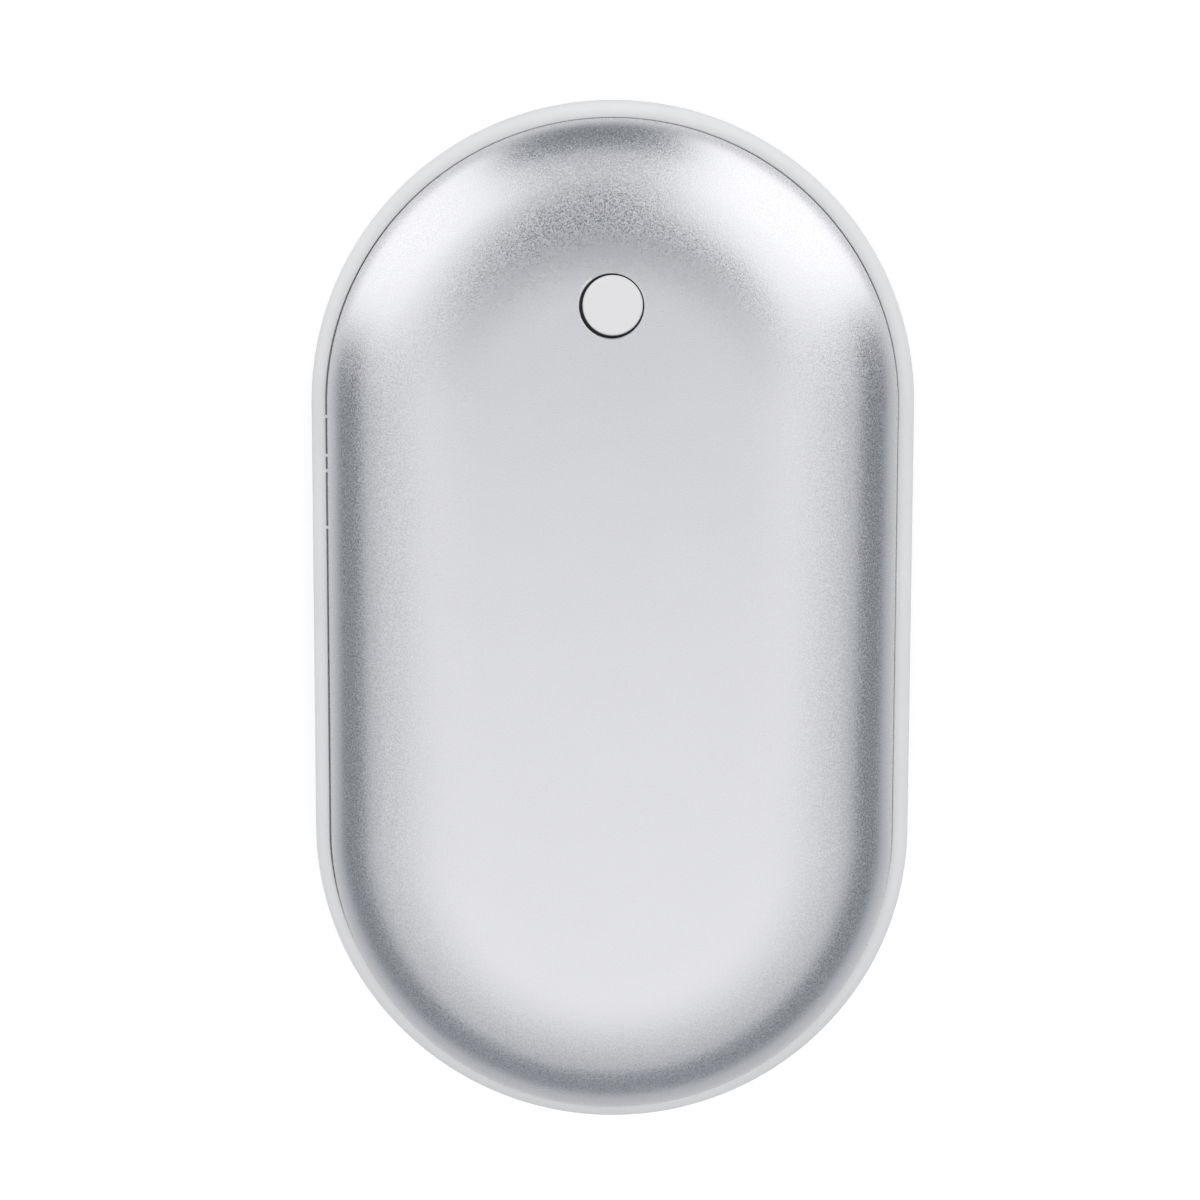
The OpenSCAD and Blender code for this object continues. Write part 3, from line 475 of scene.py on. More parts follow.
FINISHES: dict[str, Finish] = {
    made.slot: made for made in (
        BlastedAluminium("anodised_aluminium", (0.79, 0.79, 0.82), 0.33),
        Moulding("satin_band", (0.70, 0.70, 0.71), 0.42, Skin.SATIN, glow=0.1),
        ShadeFootMoulding("white_cap", (0.66, 0.655, 0.665), 0.34, Skin.POLISHED),
        Moulding("black_moulding", (0.02, 0.02, 0.022), 0.55, Skin.SPARKED),
        Moulding("seal_rubber", (0.03, 0.03, 0.03), 0.8),
        Moulding("ivory_plastic", (0.7, 0.64, 0.5), 0.4),
        SheetMetal("sheet_steel", (0.6, 0.61, 0.62), 0.28),
        MaskedBoard("green_board", (0.01, 0.1, 0.045), 0.3),
        SheetMetal("plated_screw", (0.55, 0.56, 0.58), 0.3, (1.0, 1.0, 1.0)),
        SheetMetal("plated_inlet", (0.66, 0.66, 0.67), 0.24),
        SheetMetal("gold_contact", (0.83, 0.62, 0.25), 0.22),
        Moulding("chip_black", (0.015, 0.015, 0.017), 0.5, Skin.SPARKED),
        SheetMetal("tinned_copper", (0.65, 0.65, 0.62), 0.35),
        Moulding("ferrite", (0.035, 0.035, 0.04), 0.7, Skin.SPARKED),
        TinnedCeramic("tan_ceramic", (0.33, 0.2, 0.1), 0.45),
        Moulding("light_lens", (0.85, 0.78, 0.45), 0.2, Skin.POLISHED, glow=0.3),
        Moulding("clear_pipe", (0.8, 0.82, 0.84), 0.3, glow=0.4),
        SheetMetal("cell_can", (0.62, 0.63, 0.64), 0.3),
        ShrinkFilm("blue_sleeve", (0.01, 0.1, 0.3), 0.22),
        Moulding("paper_ring", (0.7, 0.66, 0.52), 0.85, Skin.SPARKED),
        SheetMetal("nickel_strip", (0.68, 0.66, 0.6), 0.3, (24.0, 1.0, 1.0)),
        EtchedFilm("film_tape", (0.5, 0.2, 0.02), 0.18),
        Moulding("red_insulation", (0.4, 0.015, 0.012), 0.4),
        Moulding("black_insulation", (0.012, 0.012, 0.012), 0.4),
        Moulding("white_insulation", (0.72, 0.71, 0.68), 0.4),
        Moulding("sensor_epoxy", (0.16, 0.05, 0.02), 0.25, Skin.POLISHED),
        Felt("felt_pad", (0.72, 0.7, 0.64), 0.95),
    )
}


def linked(name: str, data: Any) -> bpy.types.Object:
    """Adds an object to the scene."""
    made = bpy.data.objects.new(name, data)
    bpy.context.scene.collection.objects.link(made)
    return made


def evaluated(host: bpy.types.Object, *spent: bpy.types.Object) -> bpy.types.Mesh:
    """Takes an object's mesh with its modifiers applied, then removes it and the objects they used."""
    made = bpy.data.meshes.new_from_object(host.evaluated_get(bpy.context.evaluated_depsgraph_get()))
    host.modifiers.clear()
    for done in (host, *spent):
        bpy.data.objects.remove(done)
    return made


def meshed(name: str, shape: bmesh.types.BMesh) -> bpy.types.Mesh:
    """Turns a shape into a mesh and frees it."""
    made = bpy.data.meshes.new(name)
    shape.to_mesh(made)
    shape.free()
    return made


def closed(name: str, shape: bmesh.types.BMesh, merge: float = 1e-7) -> bpy.types.Mesh:
    """Merges a shape's points, turns its faces outwards and makes it a mesh."""
    bmesh.ops.remove_doubles(shape, verts=shape.verts, dist=merge)
    bmesh.ops.recalc_face_normals(shape, faces=shape.faces)
    return meshed(name, shape)


def joined(*meshes: bpy.types.Mesh) -> bpy.types.Mesh:
    """Several meshes as one."""
    shape = bmesh.new()
    for mesh in meshes:
        shape.from_mesh(mesh)
    return meshed("joined", shape)


def moved(mesh: bpy.types.Mesh, x: float = 0.0, y: float = 0.0, z: float = 0.0,
          turn: float = 0.0, axis: str = "Z") -> bpy.types.Mesh:
    """A copy of a mesh, turned by degrees about an axis and then shifted by millimetres."""
    made = mesh.copy()
    shift = Matrix.Translation((x * MM, y * MM, z * MM))
    made.transform(shift @ Matrix.Rotation(math.radians(turn), 4, axis))
    return made


def combined(mesh: bpy.types.Mesh, *, add: Sequence[bpy.types.Mesh] = (),
             cut: Sequence[bpy.types.Mesh] = ()) -> bpy.types.Mesh:
    """Adds closed shapes to a closed mesh, then cuts others out of it."""
    whole = linked("whole", mesh)
    tools = []
    for operation, shapes in (("UNION", add), ("DIFFERENCE", cut)):
        for shape in shapes:
            tools.append(linked("tool", shape))
            modifier = whole.modifiers.new("step", "BOOLEAN")
            modifier.operation = operation
            modifier.solver = "EXACT"
            modifier.object = tools[-1]
    return evaluated(whole, *tools)


def node_middle(node: str) -> Vector:
    """The middle of a CAD node's box, in metres."""
    low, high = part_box(node)
    return (low + high) / 2


def slot_of_node(node: str) -> str:
    """The material slot that the record gives a CAD node."""
    return next(s["material_slot"] for s in frame["record"]["subparts"] if s["node"] == node)


def piece(name: str, mesh: bpy.types.Mesh, node: str, *, angle: float = 28.0) -> bpy.types.Object:
    """Makes a piece that stands for a CAD node.

    Args:
        name: the piece's name.
        mesh: its mesh, in the frame's coordinates.
        node: the CAD node that it replaces, which gives its body and its slot.
        angle: the sharpest angle that is shaded smooth, in degrees.

    Returns:
        The piece.
    """
    slot = slot_of_node(node)
    mesh.materials.clear()
    mesh.materials.append(FINISHES[slot].material())
    mesh.polygons.foreach_set("material_index", [0] * len(mesh.polygons))
    mesh.shade_smooth()
    mesh.set_sharp_from_angle(angle=math.radians(angle))
    made = linked(name, mesh)
    shading = made.modifiers.new("even_shading", "WEIGHTED_NORMAL")
    shading.keep_sharp = True
    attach(made, frame["nodes"][node]["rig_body"])
    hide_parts(node)
    LOG.info("%s: %d faces for %s", name, len(mesh.polygons), node)
    return made


class Rule:
    """A shape that Geometry Nodes work out from named sizes."""

    KINDS = {int: "NodeSocketInt", float: "NodeSocketFloat", bpy.types.Object: "NodeSocketObject",
             tuple: "NodeSocketVector"}

    def __init__(self, name: str, **sizes: Any) -> None:
        """Starts the tree.

        Args:
            name: the rule's name.
            sizes: its inputs: numbers, vectors and the meshes that it copies or sweeps.
        """
        self.name = name
        self.sizes = {label: linked(label, size) if isinstance(size, bpy.types.Mesh) else size
                      for label, size in sizes.items()}
        self.tree = bpy.data.node_groups.new(name, "GeometryNodeTree")
        self.tree.interface.new_socket(name="shape", in_out="OUTPUT", socket_type="NodeSocketGeometry")
        for label, size in self.sizes.items():
            self.tree.interface.new_socket(name=label, in_out="INPUT", socket_type=self.KINDS[type(size)])
        self.graph = Graph(self.tree)
        self.entry = self.graph.node("NodeGroupInput")

    def __getitem__(self, label: str) -> Field:
        """One of the rule's inputs."""
        return Field(self.graph, self.entry.outputs[label])

    def copy_of(self, label: str) -> bpy.types.NodeSocket:
        """The mesh of an input."""
        return self.graph.node("GeometryNodeObjectInfo", sockets={0: self[label]}).outputs["Geometry"]

    def curve_of(self, label: str) -> bpy.types.NodeSocket:
        """The mesh of an input, as a curve."""
        return self.graph.node("GeometryNodeMeshToCurve", sockets={0: self.copy_of(label)}).outputs[0]

    def vector(self, x: Number, y: Number, z: Number) -> bpy.types.NodeSocket:
        """Three numbers as a vector."""
        return self.graph.node("ShaderNodeCombineXYZ", sockets={0: x, 1: y, 2: z}).outputs[0]

    def index(self) -> Field:
        """The number of each point."""
        return Field(self.graph, self.graph.node("GeometryNodeInputIndex").outputs[0])

    def mesh(self, shape: bpy.types.NodeSocket, slot: str) -> bpy.types.Mesh:
        """Ends the tree.

        Args:
            shape: the finished geometry.
            slot: the material slot that it takes its finish from.

        Returns:
            The result as a plain mesh.
        """
        real = self.graph.node("GeometryNodeRealizeInstances", sockets={0: shape})
        dressed = self.graph.node("GeometryNodeSetMaterial",
                                  sockets={0: real.outputs[0], "Material": FINISHES[slot].material()})
        self.graph.node("NodeGroupOutput", sockets={0: dressed.outputs[0]})
        host = linked(self.name, bpy.data.meshes.new(self.name))
        modifier = host.modifiers.new(self.name, "NODES")
        modifier.node_group = self.tree
        for item in self.tree.interface.items_tree:
            if item.in_out == "INPUT":
                modifier[item.identifier] = self.sizes[item.name]
        return evaluated(host, *(t for t in self.sizes.values() if isinstance(t, bpy.types.Object)))


def line_mesh(points: Sequence[Point], joins_up: bool) -> bpy.types.Mesh:
    """A mesh of edges only, for a path or a profile in metres."""
    made = bpy.data.meshes.new("line")
    count = len(points)
    pairs = [(i, (i + 1) % count) for i in range(count if joins_up else count - 1)]
    made.from_pydata([(*p, 0.0)[:3] for p in points], pairs, [])
    return made


def repeated(shape: bpy.types.Mesh, slot: str, count: int, start: Point = (0.0, 0.0, 0.0),
             pitch: Point = (0.0, 0.0, 0.0), *, arm: float = 0.0, first: float = 0.0,
             step: float = 0.0) -> bpy.types.Mesh:
    """Copies a shape along a row, round an arc or both. Lengths are in millimetres.

    Args:
        shape: the shape, modelled about the origin with +Y outwards.
        slot: the material slot of the copies.
        count: how many there are.
        start: the arc's centre, or the row's first place.
        pitch: the way from one place to the next.
        arm: the arc's radius.
        first: the turn of the first copy, in degrees from +Y towards +X.
        step: the turn from one copy to the next.

    Returns:
        The copies as one mesh.
    """
    rule = Rule("repeated", shape=shape, count=count, start=tuple(v * MM for v in start),
                pitch=tuple(v * MM for v in pitch), arm=arm * MM, first=float(first), step=float(step))
    graph = rule.graph
    row = graph.node("GeometryNodeMeshLine", sockets={
        "Count": rule["count"], "Start Location": rule["start"], "Offset": rule["pitch"],
    })
    turn = rule["first"] + rule["step"] * rule.index()
    reach = rule.vector(rule["arm"] * turn.sine(), rule["arm"] * turn.cosine(), 0.0)
    swung = graph.node("GeometryNodeSetPosition", sockets={0: row.outputs[0], "Offset": reach})
    copies = graph.node("GeometryNodeInstanceOnPoints", sockets={
        0: swung.outputs[0], "Instance": rule.copy_of("shape"),
        "Rotation": rule.vector(0.0, 0.0, turn * -math.radians(1)),
    })
    return rule.mesh(copies.outputs[0], slot)


def tube(points: Sequence[Point], diameter: float, slot: str, sides: int = 20) -> bpy.types.Mesh:
    """A round tube with closed ends that follows a path. Lengths are in millimetres.

    Args:
        points: the path's corners, which are rounded off.
        diameter: the tube's diameter.
        slot: its material slot.
        sides: how many sides it has.

    Returns:
        The tube.
    """
    path = [Vector(p) * MM for p in points]
    for _ in range(4):
        cuts = [p for a, b in zip(path, path[1:]) for p in (a.lerp(b, 0.25), a.lerp(b, 0.75))]
        path = [path[0], *cuts, path[-1]]
    rule = Rule("tube", path=line_mesh(path, False), radius=diameter * MM / 2, sides=sides)
    ring = rule.graph.node("GeometryNodeCurvePrimitiveCircle",
                           sockets={"Resolution": rule["sides"], "Radius": rule["radius"]})
    made = rule.graph.node("GeometryNodeCurveToMesh",
                           sockets={0: rule.curve_of("path"), 1: ring.outputs[0], "Fill Caps": True})
    return rule.mesh(made.outputs[0], slot)


def arc(centre: Point2, radius: float, start: float, end: float, count: int) -> list[Point2]:
    """Points of an arc between two angles in degrees, one more than it has stretches."""
    steps = (math.radians(start + (end - start) * i / count) for i in range(count + 1))
    return [(centre[0] + radius * math.cos(a), centre[1] + radius * math.sin(a)) for a in steps]


def bulge(radius: float, base: float, height: float) -> list[Point2]:
    """The profile of a domed end, from its side nearly to its pole."""
    turns = [math.radians(a) for a in range(0, 90, 15)]
    return [(radius * math.cos(a), base + height * math.sin(a)) for a in turns]


def rounded(low: Point2, high: Point2, radius: float, count: int = 4) -> list[Point2]:
    """A rectangle with rounded corners, anticlockwise."""
    (x0, y0), (x1, y1) = low, high
    middles = ((x1 - radius, y1 - radius), (x0 + radius, y1 - radius),
               (x0 + radius, y0 + radius), (x1 - radius, y0 + radius))
    return [p for i, middle in enumerate(middles)
            for p in arc(middle, radius, 90 * i, 90 * i + 90, count)]


def block(low: Point, high: Point, bevel: float, steps: int = 2) -> bpy.types.Mesh:
    """A box between two corners in millimetres, with rounded edges."""
    shape = bmesh.new()
    bmesh.ops.create_cube(shape, size=1.0)
    a, b = Vector(low) * MM, Vector(high) * MM
    for vert in shape.verts:
        vert.co = Vector((b[i] if vert.co[i] > 0 else a[i] for i in range(3)))
    round_edges(shape, bevel, steps)
    return closed("block", shape, 1e-8)


def round_edges(shape: bmesh.types.BMesh, bevel: float, steps: int = 2) -> None:
    """Rounds every edge of a shape, by a bevel in millimetres."""
    bmesh.ops.bevel(shape, geom=shape.edges[:], offset=bevel * MM, segments=steps, profile=0.5,
                    affect="EDGES")


def skinned(shape: bmesh.types.BMesh, rings: Sequence[Sequence[bmesh.types.BMVert]],
            capped: bool = False) -> None:
    """Joins each ring of points to the next with faces, and closes the ends where it is asked to."""
    for lower, upper in zip(rings, rings[1:]):
        for i, (a, b) in enumerate(zip(lower, upper)):
            shape.faces.new(list(dict.fromkeys((lower[i - 1], a, b, upper[i - 1]))))
    if capped:
        shape.faces.new(rings[0])
        shape.faces.new(rings[-1])


def lathe(profile: Sequence[Point2], steps: int = 64,
          wave: Optional[Callable[[float, float], float]] = None) -> bpy.types.Mesh:
    """Turns a profile round the Z axis.

    Args:
        profile: points of radius and height in millimetres, from pole to pole or closed by them.
        steps: how many steps a turn has.
        wave: what is added to the radius, from the angle in turns and the height.

    Returns:
        The turned mesh.
    """
    shape = bmesh.new()
    rings = []
    for r, z in profile:
        if r < 1e-6:
            rings.append([shape.verts.new((0.0, 0.0, z * MM))] * steps)
            continue
        ring = []
        for i in range(steps):
            a = 2 * math.pi * i / steps
            radius = (r + (wave(i / steps, z) if wave else 0.0)) * MM
            ring.append(shape.verts.new((radius * math.cos(a), radius * math.sin(a), z * MM)))
        rings.append(ring)
    skinned(shape, rings)
    return closed("turned", shape, 1e-9)


@dataclass
class Outline:
    """The slot shape that rings and pans follow: two half rounds on straight sides along Y."""

    half_straight: float
    arc_steps: int = 96

    def sweep(self, profile: Sequence[Point2], slot: str, joins_up: bool = True) -> bpy.types.Mesh:
        """Carries a profile round the outline.

        Args:
            profile: points of distance from the middle line and height, in millimetres.
            slot: the material slot of the swept shape.
            joins_up: whether the profile's last point joins its first.

        Returns:
            The swept shape, open where the profile is.
        """
        middle = sum(x for x, _ in profile) / len(profile)
        line = line_mesh([((x - middle) * MM, -z * MM) for x, z in profile], joins_up)
        rule = Rule("slot_sweep", profile=line, radius=middle * MM,
                    half_straight=self.half_straight * MM, steps=self.arc_steps)
        graph = rule.graph
        count = rule["steps"] + 1
        ring = graph.node("GeometryNodeMeshCircle", sockets={"Vertices": 2 * count})
        end = (rule.index() / count).math("FLOOR")
        turn = 180.0 * ((rule.index() - end * count) / rule["steps"] + end)
        shift = rule["half_straight"] * (1 - 2 * end)
        at = rule.vector(rule["radius"] * turn.cosine(), rule["radius"] * turn.sine() + shift, 0.0)
        path = graph.node("GeometryNodeSetPosition", sockets={0: ring.outputs[0], "Position": at})
        path = graph.node("GeometryNodeMeshToCurve", sockets={0: path.outputs[0]})
        path = graph.node("GeometryNodeSetCurveNormal", {"mode": "Z_UP"}, {0: path.outputs[0]})
        made = graph.node("GeometryNodeCurveToMesh",
                          sockets={0: path.outputs[0], 1: rule.curve_of("profile")})
        return rule.mesh(made.outputs[0], slot)

    def pan(self, profile: Sequence[Point2], slot: str) -> bpy.types.Mesh:
        """Carries an open profile round the outline and closes both of its ends with flat faces."""
        shape = bmesh.new()
        shape.from_mesh(self.sweep(profile, slot, joins_up=False))
        bmesh.ops.edgeloop_fill(shape, edges=[e for e in shape.edges if e.is_boundary])
        return closed("pan", shape)


@dataclass(frozen=True)
class PipRow:
    """The places of the indicator lights, on an arc about the middle of the band's round end."""

    count: int = 4
    first: float = 16.0
    step: float = 4.2

    def copies(self, shape: bpy.types.Mesh, slot: str, arm: float, z: float = 0.0) -> bpy.types.Mesh:
        """A copy of a shape for each light, on an arc of a radius and at a height in millimetres."""
        return repeated(shape, slot, self.count, (0, HALF_STRAIGHT, z), arm=arm, first=self.first,
                        step=self.step)


@dataclass
class Casing:
    """The two shells, the band between them and the seals in its grooves. Sizes are in millimetres."""

    end_r: float = 29.1
    rim_r: float = 27.4
    half_thickness: float = 13.5
    wall: float = 0.8
    rim_z: float = 2.4
    shoulder: tuple[float, float, float] = (18.4, 3.595, 9.0)
    crown: tuple[float, float, float] = (13.27, -10.5, 24.0)
    crown_angle: float = 20.0
    ease: float = 3.0
    hole: tuple[float, float, float] = (31.0, 3.0, 0.13)
    band_half: float = 3.0
    band_edge: float = 1.2
    rounding: float = 0.12
    bead_x: float = 27.6
    web_half: float = 2.2
    lip: tuple[float, float, float] = (25.3, 26.5, 3.9)
    rib_pitch: float = 18.0
    nibs: tuple[float, ...] = (19.76, 16.0, 14.5, 9.0)
    tight_right: float = 0.05
    open_left: float = 0.06
    tight_end: Point2 = (105.0, 0.13)
    inlet_cut: tuple[float, float, float, float] = (9.14, 3.46, 40.0, 51.0)

    def __post_init__(self) -> None:
        """Sets up the outline that the rings follow."""
        self.outline = Outline(HALF_STRAIGHT)

    def dome(self, depth: float, steps: int) -> list[Point2]:
        """The profile of a surface below the shell's outer one, from the flat to the straight wall.

        Args:
            depth: how far it lies below the outer surface.
            steps: how many stretches the shoulder has.

        Returns:
            Points from the edge of the flat face to the top of the straight wall.
        """
        lean = 90.0 - self.crown_angle
        crown = arc(self.crown[:2], self.crown[2] - depth, 90.0, lean, steps // 2)
        return crown + arc(self.shoulder[:2], self.shoulder[2] - depth, lean, 0.0, steps)[1:]

    def fall(self, x: float) -> float:
        """How far the outer surface is eased down, since the flat face runs gently into the crown."""
        start, _, radius = self.crown
        inside = min(max(x - start + self.ease, 0.0), 2 * self.ease)
        beyond = min(max(x - start, 0.0), self.ease)
        return inside ** 3 / (12 * self.ease * radius) - beyond ** 2 / (2 * radius)

    def shell(self, side: Side) -> None:
        """One drawn shell, with the button hole in the front one."""
        r, top, under = self.rounding, self.half_thickness, self.half_thickness - self.wall
        foot = [
            *arc((self.rim_r - r, self.rim_z + r), r, 0.0, -90.0, 4),
            *arc((self.rim_r - self.wall + r, self.rim_z + r), r, -90.0, -180.0, 4),
        ]
        face = [(self.crown[0] - self.ease * (1 - i / 10), top) for i in range(10)]
        outer = [(x, z - self.fall(x)) for x, z in (*face, *self.dome(0.0, 40))]
        profile = [*outer, *foot, *reversed(self.dome(self.wall, 20))]
        mesh = self.outline.pan(profile, "anodised_aluminium")
        if side is Side.FRONT:
            place, hole_r, edge_r = self.hole
            rim_r = hole_r + edge_r
            edge = arc((rim_r, top - edge_r), edge_r, 180.0, 90.0, 5)
            tool = lathe([(0, under - 1), (hole_r, under - 1), *edge, (rim_r, top + 1), (0, top + 1)], 128)
            mesh = combined(mesh, cut=[moved(tool, y=place)])
        else:
            mesh = moved(mesh, turn=180.0, axis="Y")
        name = side.name.lower()
        piece(f"{name}_pan", moved(mesh, z=MIDDLE), f"{name}_shell")

    def band(self) -> None:
        """The moulded band, with its grooves and lips, catch ribs, screw bosses, holes and seam nibs."""
        slot, e, edge_r = "satin_band", self.rounding, self.band_edge
        lip_in, lip_out, lip_half = self.lip
        upper = [
            *arc((self.end_r - edge_r, self.band_half - edge_r), edge_r, 0.0, 90.0, 14),
            *arc((self.bead_x + e, self.band_half - e), e, 90.0, 180.0, 4),
            (self.bead_x, self.web_half), (lip_out, self.web_half),
            *arc((lip_out - e, lip_half - e), e, 0.0, 90.0, 3),
            *arc((lip_in + e, lip_half - e), e, 90.0, 180.0, 3),
        ]
        solid = bmesh.new()
        solid.from_mesh(self.outline.sweep(upper + [(r, -z) for r, z in reversed(upper)], slot))
        for vert in solid.verts:
            self.close_seam(vert)
        ring = closed("band_ring", solid)
        pair = joined(*(block((-3, 24.72, z - 0.5), (3, 25.7, z + 0.5), 0.12) for z in (1.65, -1.65)))
        boss = combined(
            lathe([(0, -3), (2.1, -3), (2.3, -2.8), (2.3, 2.0), (2.1, 2.2), (0, 2.2)], 40),
            add=[block((-1, 0, -3), (1, 3.4, 2.2), 0.1)],
        )
        pilot = lathe([(0, -4), (1.02, -4), (1.02, 1.0), (0, 1.4)], 24)
        hole = lathe([(0, -2), (0.65, -2), (0.65, 4), (0, 4)], 32)
        ribs, bosses, pilots = [], [], []
        for sign, turn in ((1, 90.0), (-1, -90.0)):
            ribs.append(repeated(pair, slot, 3, (0, -self.rib_pitch, 0), (0, self.rib_pitch, 0), first=turn))
            for shape, row in ((boss, bosses), (pilot, pilots)):
                start, pitch = (sign * BOSS_X, -BOSS_Y, 0), (0, 2 * BOSS_Y, 0)
                row.append(repeated(shape, slot, 2, start, pitch, first=turn))
        ribs.append(repeated(pair, slot, 1, (0, -HALF_STRAIGHT, 0), first=180.0))
        nibs = joined(*(block((-27.75, y - 0.15, 2.0), (-27.41, y + 0.15, 3.0), 0.04) for y in self.nibs))
        holes = PipRow().copies(moved(hole, turn=-90.0, axis="X"), slot, 26)
        mouth = ChargingInlet().form(*self.inlet_cut)
        mesh = combined(ring, add=[*ribs, *bosses, nibs], cut=[*pilots, holes, mouth])
        piece("band_ring", moved(mesh, z=MIDDLE), "mid_frame")

    def close_seam(self, vert: bmesh.types.BMVert) -> None:
        """Moves a point of the bead's inner wall nearer to the shells, which sit tightest at the button."""
        x, y = vert.co.x / MM, vert.co.y / MM
        out = Vector((x, y - max(-HALF_STRAIGHT, min(HALF_STRAIGHT, y))))
        on_wall = self.bead_x - 0.01 < out.length < self.bead_x + 0.2
        if not on_wall or abs(vert.co.z) < (self.web_half - 0.01) * MM:
            return
        way = out.normalized()
        angle, share = math.radians(self.tight_end[0]), self.tight_end[1]
        tight = Vector((math.cos(angle), math.sin(angle)))
        nearer = self.tight_right * (1 + way.x) + share * max(0.0, way.dot(tight)) ** 2
        nearer -= self.open_left * max(0.0, -way.x) ** 8
        vert.co.xy -= way * nearer * MM

    def seal(self, side: Side) -> None:
        """The rubber strip under one shell's rim."""
        name = side.name.lower()
        section = rounded((26.55, 2.2), (27.5, 2.4), 0.06, 3)
        if side is Side.BACK:
            section = [(r, -z) for r, z in reversed(section)]
        shape = bmesh.new()
        shape.from_mesh(self.outline.sweep(section, "seal_rubber"))
        piece(f"{name}_seal_strip", moved(closed(f"{name}_strip", shape), z=MIDDLE), f"{name}_seal")

    def build(self) -> None:
        """Makes every piece of the casing."""
        for side in Side:
            self.shell(side)
            self.seal(side)
        self.band()


@dataclass
class Button:
    """The push button's cap: a dished disc on a flange, over the stem that reaches the switch."""

    place: Point2 = (0.1, 31.0)
    cap_r: float = 2.8
    edge_r: float = 0.2
    dish: float = 0.05
    lean: float = 0.07
    stem_r: float = 1.8
    flange_r: float = 4.0
    flange: Point2 = (11.65, 12.5)

    def build(self) -> None:
        """Makes the cap."""
        low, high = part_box("button_cap")
        top, foot = high.z / MM - MIDDLE, low.z / MM - MIDDLE
        e, flat = self.edge_r, self.cap_r - self.edge_r
        under, over = self.flange
        profile = [
            (0.0, foot), (self.stem_r - 0.1, foot), (self.stem_r, foot + 0.1), (self.stem_r, under),
            (self.flange_r - 0.05, under), (self.flange_r, under + 0.05), (self.flange_r, over - 0.05),
            (self.flange_r - 0.05, over), (self.cap_r, over), *arc((flat, top - e), e, 0.0, 90.0, 8),
            *((flat * (1 - i / 10), top - self.dish * (1 - (1 - i / 10) ** 2)) for i in range(1, 11)),
        ]
        mesh = lathe(profile, 128)
        for vert in mesh.vertices:
            if vert.co.z > (over + 0.1) * MM:
                vert.co.y += self.lean * MM
        piece("button_cap_moulding", moved(mesh, *self.place, MIDDLE), "button_cap")


@dataclass
class SnapDome:
    """The switch's snap dome: a shallow cap of thin sheet, which on the real switch flattens as the button
    goes down.
    """

    sheet: float = 0.08
    clear: float = 0.01
    steps: int = 12

    def build(self) -> None:
        """Makes the dome, and works out how far the button's travel would press it, which nothing uses."""
        low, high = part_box("switch_dome")
        rim_r, rise = (high.x - low.x) / 2 / MM, (high.z - low.z) / MM
        ball_r = (rim_r ** 2 + rise ** 2) / (2 * rise)
        drop = ball_r - rise
        outer, inner = (arc((0.0, -drop), r, 90.0, math.degrees(math.asin(drop / r)), self.steps)
                        for r in (ball_r, ball_r - self.sheet))
        middle = node_middle("switch_dome")
        foot = (middle.x, middle.y, low.z)
        mesh = moved(lathe([*outer, *reversed(inner)], 64), *(v / MM for v in foot))
        made = piece("snap_dome", mesh, "switch_dome")
        press = frame["record"]["behaviour"]["joints"][0]
        gap = (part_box("switch_plunger")[0].z - high.z) / MM
        give = press["range_m"][1] / MM - gap + self.clear
        1 - give / rise
        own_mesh(made)


